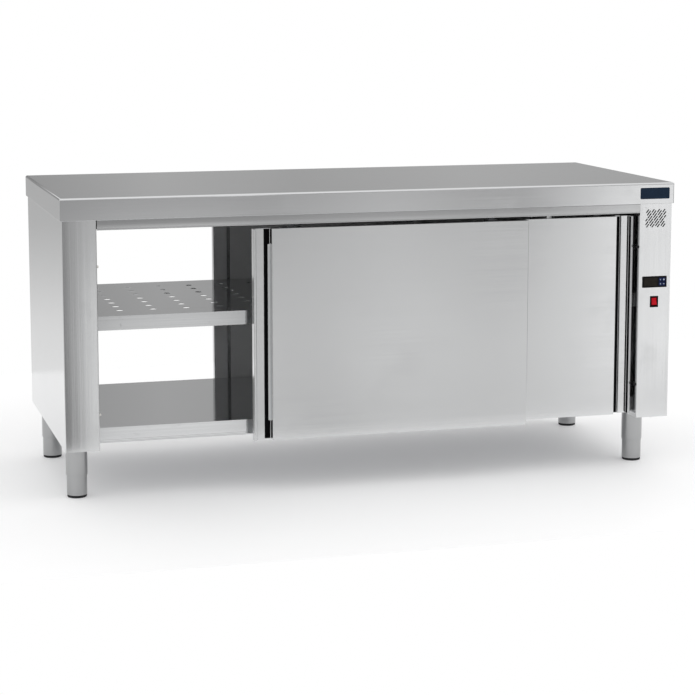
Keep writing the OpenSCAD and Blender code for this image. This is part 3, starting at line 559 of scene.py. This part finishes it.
def lathe(profile, centre, steps=64):
    """Spin an outline of (radius, height) points round an upright axis."""
    mesh = bmesh.new()
    points = [mesh.verts.new((r, 0.0, z)) for r, z in profile]
    edges = [mesh.edges.new(pair) for pair in zip(points, points[1:])]
    bmesh.ops.spin(
        mesh, geom=points + edges, cent=(0, 0, 0), axis=(0, 0, 1), angle=math.tau, steps=steps, use_merge=True
    )
    bmesh.ops.remove_doubles(mesh, verts=mesh.verts, dist=1e-6)
    bmesh.ops.recalc_face_normals(mesh, faces=mesh.faces)
    bmesh.ops.translate(mesh, vec=centre, verts=mesh.verts)
    return mesh


def join(meshes, materials=None):
    """One bmesh of several, each with its material number."""
    whole = bmesh.new()
    for number, mesh in enumerate(meshes):
        for face in mesh.faces:
            face.material_index = materials[number] if materials else 0
        data = bpy.data.meshes.new("part")
        mesh.to_mesh(data)
        mesh.free()
        whole.from_mesh(data)
        bpy.data.meshes.remove(data)
    return whole


# Pieces


class CABINET_OT_worktop(bpy.types.Operator):
    """Folded worktop with a round upper edge, welded corners and a return lip"""

    bl_idname = "cabinet.worktop"
    bl_label = "Worktop"

    def execute(self, context):
        size = context.scene.cabinet_sheet
        low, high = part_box("worktop")
        mesh = block(low, high)
        under = [f for f in mesh.faces if f.normal.z < -0.5]
        bmesh.ops.delete(mesh, geom=under, context="FACES_ONLY")
        rim = [e for e in mesh.edges if len(e.link_faces) == 1]
        lip = bmesh.ops.extrude_edge_only(mesh, edges=rim)["geom"]
        for vert in drawn_points(lip):
            vert.co.x -= math.copysign(size.return_lip, vert.co.x)
            vert.co.y -= math.copysign(size.return_lip, vert.co.y)
        upper = [e for e in mesh.edges if min(v.co.z for v in e.verts) > high.z - TINY]
        round_edges(mesh, upper, size.top_fold, 6)
        under_fold = high.z - size.top_fold + TINY
        corners = []
        for edge in folds_of(mesh):
            start, end = sorted(vert.co.z for vert in edge.verts)
            if end - start > TINY and end < under_fold:
                corners.append(edge)
        round_edges(mesh, corners, size.apron_fold, 3)
        lower = []
        for edge in folds_of(mesh):
            at_foot = max(vert.co.z for vert in edge.verts) < low.z + TINY
            if at_foot and any(abs(face.normal.z) < 0.5 for face in edge.link_faces):
                lower.append(edge)
        round_edges(mesh, lower, size.apron_fold, 3)
        bmesh.ops.recalc_face_normals(mesh, faces=mesh.faces)
        add_piece(mesh, "worktop_sheet", "cabinet", ["worktop_steel"], ["worktop"], thickness=size.top_sheet)
        dress("zinc", "worktop_hats")
        return {"FINISHED"}


class CABINET_OT_end_boxes(bpy.types.Operator):
    """Left end box and the covers of the technical compartment"""

    bl_idname = "cabinet.end_boxes"
    bl_label = "End boxes"

    def execute(self, context):
        size = context.scene.cabinet_sheet
        low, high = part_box("left_end_shell")
        front = bowed((low.x, low.y), (high.x, low.y), size.bow)
        rear = bowed((high.x, high.y), (low.x, high.y), size.bow)
        wall = folded_sheet(front + rear, low.z, high.z, size.bend, closed=True)
        bmesh.ops.solidify(wall, geom=wall.faces, thickness=size.sheet)
        gap = Vector((size.sheet * 1.2, size.sheet * 1.2, 0.0))
        base = rounded_block(low + gap, Vector((high.x, high.y, low.z + 0.002)) - gap, 0.0004)
        add_piece(join([wall, base]), "left_end_box", "cabinet", ["upright_steel"], ["left_end_shell"])
        dress("side_steel", "right_end_shell")
        dress("upright_steel", "control_column", "rear_column_cover")
        soften(0.0005, "right_end_shell", "rear_column_cover")
        soften(0.0001, "control_column")
        self.paint_grille_shadow(size)
        return {"FINISHED"}

    def paint_grille_shadow(self, size):
        """Painted shade: a near-black sheet behind the slanted slots, so that they read dark."""
        low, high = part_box("control_column")
        behind, painted_shade = 0.003, 0.0008
        centre = Vector(((low.x + high.x) / 2, low.y + behind + painted_shade / 2, high.z - size.grille_drop))
        half = Vector((size.filter_width, painted_shade, size.shadow_sheet_height)) / 2
        mesh = rounded_block(centre - half, centre + half, 0.0003)
        add_piece(mesh, "grille_shadow_sheet", "cabinet", ["grip_lining"])


class CABINET_OT_headers(bpy.types.Operator):
    """Header rails over the doors, and the door tracks behind them"""

    bl_idname = "cabinet.headers"
    bl_label = "Headers and tracks"

    def execute(self, context):
        size = context.scene.cabinet_sheet
        low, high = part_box("headers")
        face = bowed((high.y, high.z), (high.y, low.z), -size.bow * 0.8)
        path = [(high.y - size.header_flange, high.z), *face, (high.y - size.header_hem, low.z)]
        for name, side, inset, nodes in (("front", -1, 0.0, ["headers"]), ("rear", 1, 0.002, [])):
            outline = [(side * y, z) for y, z in path]
            mesh = folded_sheet(outline, low.x + inset, high.x, size.bend * 0.8, axis="X")
            if side < 0:
                bmesh.ops.reverse_faces(mesh, faces=mesh.faces)
            add_piece(mesh, name + "_header", "cabinet", ["header_steel"], nodes, thickness=size.sheet)
        dress("dark_zinc", "top_tracks")
        return {"FINISHED"}


class DoorPlan:
    """Turns a place on a door, counted from its leading edge and its face, into the frame's X and Y."""

    def __init__(self, door, size):
        low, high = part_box(door + "_skin")
        self.low, self.high = low, high
        self.lead = low.x if door.endswith("left") else high.x
        self.along = 1 if door.endswith("left") else -1
        self.face = low.y if door.startswith("front") else high.y
        self.inward = 1 if door.startswith("front") else -1
        self.width = high.x - low.x
        self.lip = size.grip_lip
        self.strip = self.lip + size.grip_strip
        self.groove = self.strip + size.grip_groove

    def at(self, along, inward):
        """X and Y of a place on the door."""
        return self.lead + self.along * along, self.face + self.inward * inward

    def path(self, points):
        """Points in the order that keeps the door's outside on the path's right."""
        placed = [self.at(*point) for point in points]
        return placed if self.along * self.inward > 0 else placed[::-1]

    def plate(self, start, end, low, high, radius=0.0003):
        """A flat plate between two corners given as (along, inward) and two heights."""
        (left, right), (front, back) = map(sorted, zip(self.at(*start), self.at(*end)))
        return rounded_block((left, front, low), (right, back, high), radius, 2)


class CABINET_OT_doors(bpy.types.Operator):
    """Four sliding doors: folded skins with a full-height grip, and pressed liners"""

    bl_idname = "cabinet.doors"
    bl_label = "Doors"

    def execute(self, context):
        size = context.scene.cabinet_sheet
        for door in CORNERS:
            plan = DoorPlan(door, size)
            self.skin(plan, door, size)
            self.lining(plan, door, size)
            self.liner(plan, door, size)
            dress("dark_zinc", door + "_hangers")
            dress("black_plastic", door + "_roller_a", door + "_roller_b")
        dress("nylon", "centre_guides")
        self.stops()
        return {"FINISHED"}

    def stops(self):
        """Round-nosed buffers at both ends of each track."""
        low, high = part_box("door_stops")
        radius, reach, edge, spacing = 0.0038, 0.0062, 0.006, 0.027
        outline = [(0.0, 0.0), (radius, 0.0), (radius, reach - 0.003), (radius - 0.0008, reach - 0.0009), (0.0, reach)]
        tracks = (low.y + edge, low.y + edge + spacing, high.y - edge - spacing, high.y - edge)
        buffers, sides = [], []
        for side, (x, degrees) in enumerate(((low.x, 90), (high.x, -90))):
            for y in tracks:
                for z in (low.z + edge, high.z - edge):
                    mesh = lathe(outline, (0, 0, 0), 24)
                    place = Matrix.Translation((x, y, z)) @ Matrix.Rotation(math.radians(degrees), 4, "Y")
                    bmesh.ops.transform(mesh, matrix=place, verts=mesh.verts)
                    buffers.append(mesh)
                    sides.append(side)
        finishes = ["nylon", "black_rubber"]
        add_piece(join(buffers, sides), "door_buffers", "cabinet", finishes, ["door_stops"])

    def skin(self, plan, door, size):
        """The folded outer sheet with its set-back strip and finger groove, closed above and below."""
        lip, strip, groove = plan.lip, plan.strip, plan.groove
        back = size.door_return
        section = [(0.0, back), (0.0, 0.0), (lip, 0.0), (lip, size.strip_depth), (strip, size.strip_depth)]
        section += [(strip, size.groove_depth), (groove, size.groove_depth), (groove, 0.0)]
        section += [(plan.width, 0.0), (plan.width, back)]
        low, high = plan.low.z, plan.high.z
        sheet = size.door_sheet
        wall = folded_sheet(plan.path(section), low, high, size.door_bend)
        bmesh.ops.solidify(wall, geom=wall.faces, thickness=sheet)
        edge = sheet * 1.1
        sole = 0.008
        panel, grip = (groove + edge, edge), (edge, size.strip_depth + edge)
        caps = [
            plan.plate(panel, (plan.width - edge, back), high - sheet, high),
            plan.plate(panel, (plan.width - edge, sole), low, low + sheet),
            plan.plate(grip, (strip - edge, back), high - sheet, high),
            plan.plate(grip, (strip - edge, back), low, low + sheet),
        ]
        add_piece(join([wall, *caps]), door + "_skin_sheet", door + "_door", ["front_steel"], [door + "_skin"])

    def lining(self, plan, door, size):
        """Painted shade: near-black strips on the floor of the finger groove and behind the lip, where the groove's
        shadow falls.
        """
        lip, strip, groove = plan.lip, plan.strip, plan.groove
        low, high = plan.low.z, plan.high.z - 0.0015
        start, end = strip + size.door_bend, groove - size.door_bend
        floor = plan.plate((start, size.groove_depth - 0.0008), (end, size.groove_depth), low + 0.0015, high)
        side = plan.plate((lip, 0.0025), (lip + 0.0006, size.strip_depth - 0.0006), low + 0.001, high)
        add_piece(join([floor, side]), door + "_grip_lining", door + "_door", ["grip_lining"])

    def liner(self, plan, door, size):
        """The inner sheet: a flat rim round a panel that is pressed towards the skin."""
        low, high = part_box(door + "_liner")
        outer = low.y if plan.inward < 0 else high.y
        mesh = block(low, high)
        back = [f for f in mesh.faces if f.normal.y * plan.inward < 0.5]
        bmesh.ops.delete(mesh, geom=back, context="FACES")
        for vert in mesh.verts:
            vert.co.y = outer
        face = mesh.faces[:]
        bmesh.ops.inset_region(mesh, faces=face, thickness=size.liner_margin, use_boundary=True)
        rim = bmesh.ops.inset_region(mesh, faces=face, thickness=0.005, use_boundary=True)["faces"]
        bmesh.ops.translate(mesh, vec=(0, -plan.inward * size.liner_step, 0), verts=face[0].verts)
        round_edges(mesh, {e for f in rim for e in f.edges}, 0.002, 3)
        piece = door + "_liner"
        finishes = ["liner_steel"]
        add_piece(mesh, piece + "_sheet", door + "_door", finishes, [piece], size.door_sheet)


class CABINET_OT_interior(bpy.types.Operator):
    """Chamber walls, perforated shelf, floor tray and what lies under it"""

    bl_idname = "cabinet.interior"
    bl_label = "Interior"

    def execute(self, context):
        dress("inner_steel", "partition", "chamber_ceiling", "mid_shelf", "shelf_cleats")
        dress("zinc", "base_pan")
        dress("wool", "floor_insulation")
        soften(0.0006, "mid_shelf", "shelf_cleats", "base_pan")
        self.tray(context.scene.cabinet_sheet)
        return {"FINISHED"}

    def tray(self, size):
        """Floor tray, folded down at both doorways into a rolled bead."""
        low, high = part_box("floor_tray")
        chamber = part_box("mid_shelf")[1].x
        bead = ((-0.005, 0.0015), (0.0, 0.0004), (0.0014, 0.0026), (0.0014, 0.0056), (0.0, 0.0082))
        rear = [(high.y + out, low.z + up) for out, up in bead] + [(high.y, high.z)]
        front = [(-y, z) for y, z in reversed(rear)]
        sheet = folded_sheet(rear + front, low.x + 0.0002, chamber, 0.0009, axis="X")
        bmesh.ops.solidify(sheet, geom=sheet.faces, thickness=size.sheet)
        half_tongue = 0.3
        tongue = rounded_block(
            (chamber - 0.001, -half_tongue, high.z - size.sheet), (high.x, half_tongue, high.z), 0.0003, 2
        )
        add_piece(join([sheet, tongue]), "floor_tray_sheet", "cabinet", ["tray_steel"], ["floor_tray"])


class CABINET_OT_legs(bpy.types.Operator):
    """Leg sleeves and adjustable feet"""

    bl_idname = "cabinet.legs"
    bl_label = "Legs"

    def execute(self, context):
        size = context.scene.cabinet_legs
        low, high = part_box("leg_sleeves")
        outer, bore = size.sleeve_radius, size.sleeve_radius - size.sleeve_wall
        hole = size.stem_radius + 0.0002
        top, head = high.z - 0.0002, high.z - size.sleeve_head
        outline = [(hole, top), (outer, top), (outer, low.z + 0.006), (outer - 0.0002, low.z + 0.004)]
        outline += [(outer - 0.0009, low.z + 0.001), (outer - 0.0012, low.z), (bore, low.z + 0.0004)]
        outline += [(bore, head), (hole, head), (hole, top)]
        sleeves = []
        for foot in CORNERS:
            foot_low, foot_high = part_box("foot_" + foot)
            middle = (foot_low + foot_high) / 2
            centre = (middle.x, middle.y, 0.0)
            sleeves.append(lathe(outline, centre))
            self.foot(foot, centre, foot_low.z, foot_high.z, size)
        add_piece(join(sleeves), "sleeves", "cabinet", ["leg_steel"], ["leg_sleeves"])
        return {"FINISHED"}

    def foot(self, foot, centre, low, high, size):
        """A tube on a black pad, with the threaded stem that carries it."""
        rim, bore = size.tube_radius, size.stem_radius + 0.0002
        pad = low + size.pad_height
        top = pad + size.tube_height
        start, end = top - 0.003, high - 0.0012
        tube = [(0.0, pad), (rim - 0.001, pad), (rim, pad + 0.001), (rim, top - 0.0008), (rim - 0.0008, top)]
        tube += [(bore, top), (bore, start)]
        root = size.stem_radius - size.thread_depth
        pitch = (end - start) / size.thread_turns
        stem = [(0.0, start)]
        for k in range(size.thread_turns):
            z = start + pitch * k
            stem += [(root, z), (size.stem_radius, z + pitch / 2)]
        stem += [(root, end), (root - 0.0007, high), (0.0, high)]
        wide = size.pad_radius
        sole = [(0.0, low), (wide - 0.003, low), (wide - 0.0009, low + 0.0009), (wide, low + 0.003)]
        sole += [(wide, pad), (0.0, pad)]
        mesh = join([lathe(tube, centre), lathe(stem, centre, 24), lathe(sole, centre)], [0, 1, 2])
        finishes = ["leg_steel", "zinc", "black_rubber"]
        add_piece(mesh, "foot_" + foot + "_tube", "foot_" + foot, finishes, ["foot_" + foot])


class CABINET_OT_controls(bpy.types.Operator):
    """Controller with its keys, rocker switch and the blank plate on the apron"""

    bl_idname = "cabinet.controls"
    bl_label = "Controls"

    def execute(self, context):
        size = context.scene.cabinet_controls
        dress("black_plastic", "cable_gland", "safety_thermostat")
        column_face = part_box("control_column")[0].y
        self.bezel("controller_bezel", column_face, size.controller_rim, size.controller_well)
        self.bezel("switch_bezel", column_face, size.switch_rim, size.switch_well)
        self.display()
        self.key("key_up", 3, 90, size)
        self.key("key_down", 3, 270, size)
        self.key("key_set", 20, 0, size)
        self.key("key_menu", 4, 45, size, stretch=(1.35, 0.55))
        self.rocker(column_face, size)
        self.plate(size)
        return {"FINISHED"}

    def bezel(self, node, column_face, border, depth):
        """A moulded flange with a sunk field, and the housing behind the sheet, in one piece."""
        low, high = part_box(node)
        mesh = block(low, (high.x, column_face, high.z))
        back = [f for f in mesh.faces if f.normal.y > 0.5]
        front = [f for f in mesh.faces if f.normal.y < -0.5]
        for faces, margin, travel in ((back, 0.003, high.y - column_face), (front, border, depth)):
            bmesh.ops.inset_region(mesh, faces=faces, thickness=margin)
            drawn = bmesh.ops.extrude_face_region(mesh, geom=faces)["geom"]
            bmesh.ops.delete(mesh, geom=[f for f in faces if f.is_valid], context="FACES_ONLY")
            bmesh.ops.translate(mesh, vec=(0, travel, 0), verts=drawn_points(drawn))
        bmesh.ops.recalc_face_normals(mesh, faces=mesh.faces)
        round_edges(mesh, [e for e in mesh.edges if e.calc_face_angle(0.0) > 0.5], 0.0003, 2)
        add_piece(mesh, node + "_moulding", "cabinet", ["black_plastic"], [node])

    def display(self):
        """The dark window of the controller."""
        low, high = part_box("display_window")
        mesh = rounded_block((low.x, low.y + 0.0004, low.z), high, 0.0003, 3)
        add_piece(mesh, "display_glass", "cabinet", ["display"], ["display_window"])

    def key(self, node, corners, degrees, size, stretch=(1.0, 1.0)):
        """A key cap and its raised mark, a low prism with so many corners."""
        low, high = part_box(node)
        cap = rounded_block((low.x, low.y + 0.0001, low.z), high, 0.0007)
        centre = ((low.x + high.x) / 2, low.y + 0.00015, (low.z + high.z) / 2)
        upright = Matrix.Rotation(math.radians(90), 4, "X") @ Matrix.Diagonal((*stretch, 1.0, 1.0))
        place = Matrix.Translation(centre) @ upright @ Matrix.Rotation(math.radians(degrees), 4, "Z")
        radius = size.mark_radius
        mark = bmesh.new()
        bmesh.ops.create_cone(
            mark, cap_ends=True, segments=corners, radius1=radius, radius2=radius, depth=0.0002, matrix=place
        )
        bmesh.ops.recalc_face_normals(mark, faces=mark.faces)
        finishes = ["keypad", "key_mark"]
        add_piece(join([cap, mark], [0, 1]), node + "_cap", node, finishes, [node])

    def rocker(self, column_face, size):
        """A rocker whose face folds inwards at its middle, tilted to one side."""
        low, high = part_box("switch_bezel")
        end = size.rocker_height / 2
        outline = [(-0.0056, 0.0), (-0.0075, end - 0.0006), (-0.004, end - 0.0003), (0.003, 0.004)]
        outline += [(y, -z) for y, z in outline[:0:-1]]
        mesh = bmesh.new()
        face = mesh.faces.new([mesh.verts.new((-size.rocker_width / 2, y, z)) for y, z in outline])
        drawn = bmesh.ops.extrude_face_region(mesh, geom=[face])["geom"]
        bmesh.ops.translate(mesh, vec=(size.rocker_width, 0, 0), verts=drawn_points(drawn))
        bmesh.ops.recalc_face_normals(mesh, faces=mesh.faces)
        round_edges(mesh, mesh.edges, 0.0005, 3)
        pivot = Matrix.Translation(((low.x + high.x) / 2, column_face + 0.005, (low.z + high.z) / 2))
        bmesh.ops.transform(mesh, matrix=pivot @ Matrix.Rotation(-size.rocker_tilt, 4, "X"), verts=mesh.verts)
        add_piece(mesh, "rocker_cap", "switch_rocker", ["red_plastic"], ["switch_rocker"])

    def plate(self, size):
        """The blank plate, with round corners and a fine rim."""
        low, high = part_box("apron_plate")
        mesh = block(low, high)
        corners = [e for e in mesh.edges if abs(e.verts[0].co.y - e.verts[1].co.y) > TINY]
        round_edges(mesh, corners, size.plate_corner, 5)
        front = [f for f in mesh.faces if f.normal.y < -0.9]
        bmesh.ops.inset_region(mesh, faces=front, thickness=size.plate_rim)
        bmesh.ops.translate(mesh, vec=(0, 0.0002, 0), verts=front[0].verts)
        add_piece(mesh, "blank_plate", "cabinet", ["apron_plate"], ["apron_plate"])


class CABINET_OT_heating(bpy.types.Operator):
    """Fan, heating ring and wiring parts in the technical compartment"""

    bl_idname = "cabinet.heating"
    bl_label = "Heating"

    def execute(self, context):
        dress("zinc", "duct_casing", "fan_motor", "fan_wheel")
        dress("heated_alloy", "heating_element")
        dress("inner_steel", "air_probe", "screws")
        dress("nylon", "terminal_block")
        return {"FINISHED"}


# Studio

# Brightness of the room: the front and BACK_LEVEL go by the X part of a direction, the others by its Z part.
FRONT_LOW = (
    (-1.0, 0.85), (-0.5, 0.8), (-0.26, 0.7), (-0.18, 0.15), (0.0, 0.1), (0.1, 0.4), (0.135, 0.55),
    (0.155, 1.3), (0.21, 1.35), (0.23, 0.56), (0.26, 0.8), (0.29, 1.14), (0.315, 1.0), (0.35, 0.8),
    (0.37, 0.95), (0.395, 1.4), (0.45, 1.3), (0.475, 0.3), (0.5, 0.2), (0.56, 0.3), (0.7, 0.75), (1.0, 0.8),
)
FRONT_LEVEL = (
    (-1.0, 0.8), (-0.5, 0.75), (-0.26, 0.65), (-0.18, 0.15), (0.0, 0.12), (0.1, 0.4), (0.15, 0.52),
    (0.245, 0.48), (0.28, 0.72), (0.305, 0.76), (0.33, 0.5), (0.355, 0.42), (0.375, 0.62), (0.4, 1.3),
    (0.43, 1.3), (0.46, 1.2), (0.48, 0.3), (0.5, 0.2), (0.56, 0.3), (0.7, 0.7), (1.0, 0.75),
)
BACK_LOW = ((0.0, 0.45), (0.44, 0.52), (0.54, 0.66), (0.64, 0.82), (0.76, 0.89), (0.9, 0.97))
BACK_LEVEL = ((0.1, 0.32), (0.18, 0.45), (0.25, 0.4), (0.33, 0.46), (0.425, 0.42))
SKY = ((0.0, 0.8), (0.4, 1.0), (0.7, 1.15), (1.0, 1.2))

# Where one part of the room passes into the next, along Z, Y and X.
FOOT_OF_FRONT = (-0.222, -0.185)
FRONT_RISE = (-0.19, -0.1)
HORIZON = (-0.03, 0.03)
CEILING = (0.22, 0.5)
FRONT_TO_BACK = (-0.3, 0.3)
DARK_SIDE = (0.8, 0.92)


class CABINET_OT_studio(bpy.types.Operator):
    """Pale floor, soft lights, surroundings and camera"""

    bl_idname = "cabinet.studio"
    bl_label = "Studio"

    def execute(self, context):
        view = context.scene.cabinet_studio
        camera = bpy.data.cameras.new("Camera")
        camera.lens = view.lens
        camera.shift_y = view.shift
        camera.clip_end = 100.0
        stand = bpy.data.objects.new("Camera", camera)
        stand.location = view.place
        stand.rotation_euler = (math.pi / 2 - view.pitch, 0.0, -view.yaw)
        context.collection.objects.link(stand)
        context.scene.camera = stand
        context.scene.view_settings.view_transform = "Standard"
        self.surroundings(context)
        self.floor(context, view)
        self.key_light(context, Vector((3.4, -2.0, 3.2)), Vector((0.0, -0.2, 0.0)))
        return {"FINISHED"}

    def key_light(self, context, place, aim):
        """A large soft lamp that the sheet doesn't mirror."""
        light = bpy.data.lights.new("Key", "AREA")
        light.size = 3.0
        light.energy = 24.0
        lamp = bpy.data.objects.new("Key", light)
        lamp.location = place
        lamp.rotation_euler = (aim - place).to_track_quat("-Z", "Y").to_euler()
        lamp.visible_glossy = False
        context.collection.objects.link(lamp)

    def surroundings(self, context):
        """A white room; its walls and far floor have the soft bands that the sheet reflects."""
        world = bpy.data.worlds.new("Surroundings")
        world.use_nodes = True
        context.scene.world = world
        air = Finish(world.node_tree, "Background")
        direction = air.node("ShaderNodeTexCoord", output="Generated")
        parts = air.node("ShaderNodeSeparateXYZ", inputs={"Vector": direction}).socket.node.outputs
        across, depth, height = (Wire(air, parts[axis]) for axis in "XYZ")
        low = self.sweep(air, across, FRONT_LOW)
        level = self.sweep(air, across, FRONT_LEVEL)
        low = low * (air.spread(height, *FOOT_OF_FRONT) * 0.35 + 0.65)
        front = air.tint(air.spread(height, *FRONT_RISE), low, level)
        back_low = self.ramp(air, height * -4.0, BACK_LOW)
        back_level = self.sweep(air, across, BACK_LEVEL)
        behind = air.tint(air.spread(height, *HORIZON), back_low, back_level)
        around = air.tint(air.spread(depth, *FRONT_TO_BACK), front, behind)
        around = around * (air.spread(across, *DARK_SIDE) * -0.65 + 1.0)
        sky = self.ramp(air, height, SKY)
        room = air.tint(air.spread(height, *CEILING), around, sky)
        seen = air.node("ShaderNodeLightPath", output="Is Camera Ray")
        air.surface(Color=air.tint(seen, room, (1.0, 1.0, 1.0)), Strength=1.0)

    def sweep(self, air, across, stops):
        """Brightness along X, from stops at -1 to 1."""
        return self.ramp(air, across * 0.5 + 0.5, [(0.5 + x / 2, light) for x, light in stops])

    def ramp(self, air, value, stops):
        """Brightness along a value from 0 to 1."""
        return air.node("ShaderNodeValToRGB", {"stops": stops}, {"Fac": value})

    def floor(self, context, view):
        """A pale floor that fades into the room."""
        mesh = bmesh.new()
        half = Matrix.Diagonal((view.floor_length / 2, view.floor_depth / 2, 1.0, 1.0))
        place = Matrix.Translation((0.0, view.floor_shift, 0.0)) @ half
        bmesh.ops.create_grid(mesh, x_segments=1, y_segments=1, size=1.0, matrix=place)
        data = bpy.data.meshes.new("studio_floor")
        mesh.to_mesh(data)
        mesh.free()
        material, finish = new_finish("studio_floor")
        grain = finish.noise(3.0, detail=2.0)
        finish.surface(
            Base_Color=finish.tint(grain, shade(view.floor, 0.995), view.floor[:]),
            Roughness=grain * 0.1 + 0.6,
            Emission_Color=view.glow[:],
            Emission_Strength=1.0,
        )
        data.materials.append(material)
        ground = bpy.data.objects.new("studio_floor", data)
        context.collection.objects.link(ground)


# Add-on


SETTINGS = (
    ("cabinet_sheet", CabinetSheetSettings),
    ("cabinet_legs", CabinetLegSettings),
    ("cabinet_controls", CabinetControlSettings),
    ("cabinet_finish", CabinetFinishSettings),
    ("cabinet_studio", CabinetStudioSettings),
)

STEPS = (
    CABINET_OT_studio,
    CABINET_OT_worktop,
    CABINET_OT_end_boxes,
    CABINET_OT_headers,
    CABINET_OT_doors,
    CABINET_OT_interior,
    CABINET_OT_legs,
    CABINET_OT_controls,
    CABINET_OT_heating,
)


class CABINET_PT_panel(bpy.types.Panel):
    """Buttons and sizes of the cabinet"""

    bl_label = "Plate warmer cabinet"
    bl_idname = "CABINET_PT_panel"
    bl_space_type = "VIEW_3D"
    bl_region_type = "UI"
    bl_category = "Cabinet"

    def draw(self, context):
        for step in STEPS:
            self.layout.operator(step.bl_idname)
        for name, group in SETTINGS:
            box = self.layout.box()
            for key in group.__annotations__:
                box.prop(getattr(context.scene, name), key)


def register():
    """Register the settings, operators and panel."""
    for name, group in SETTINGS:
        bpy.utils.register_class(group)
        setattr(bpy.types.Scene, name, bpy.props.PointerProperty(type=group))
    for part in (*STEPS, CABINET_PT_panel):
        bpy.utils.register_class(part)


def unregister():
    """Take everything off again."""
    for part in (CABINET_PT_panel, *reversed(STEPS)):
        bpy.utils.unregister_class(part)
    for name, group in reversed(SETTINGS):
        delattr(bpy.types.Scene, name)
        bpy.utils.unregister_class(group)


def main():
    """Build every piece."""
    register()
    for step in STEPS:
        family, action = step.bl_idname.split(".")
        getattr(getattr(bpy.ops, family), action)()


if __name__ == "__main__":
    main()
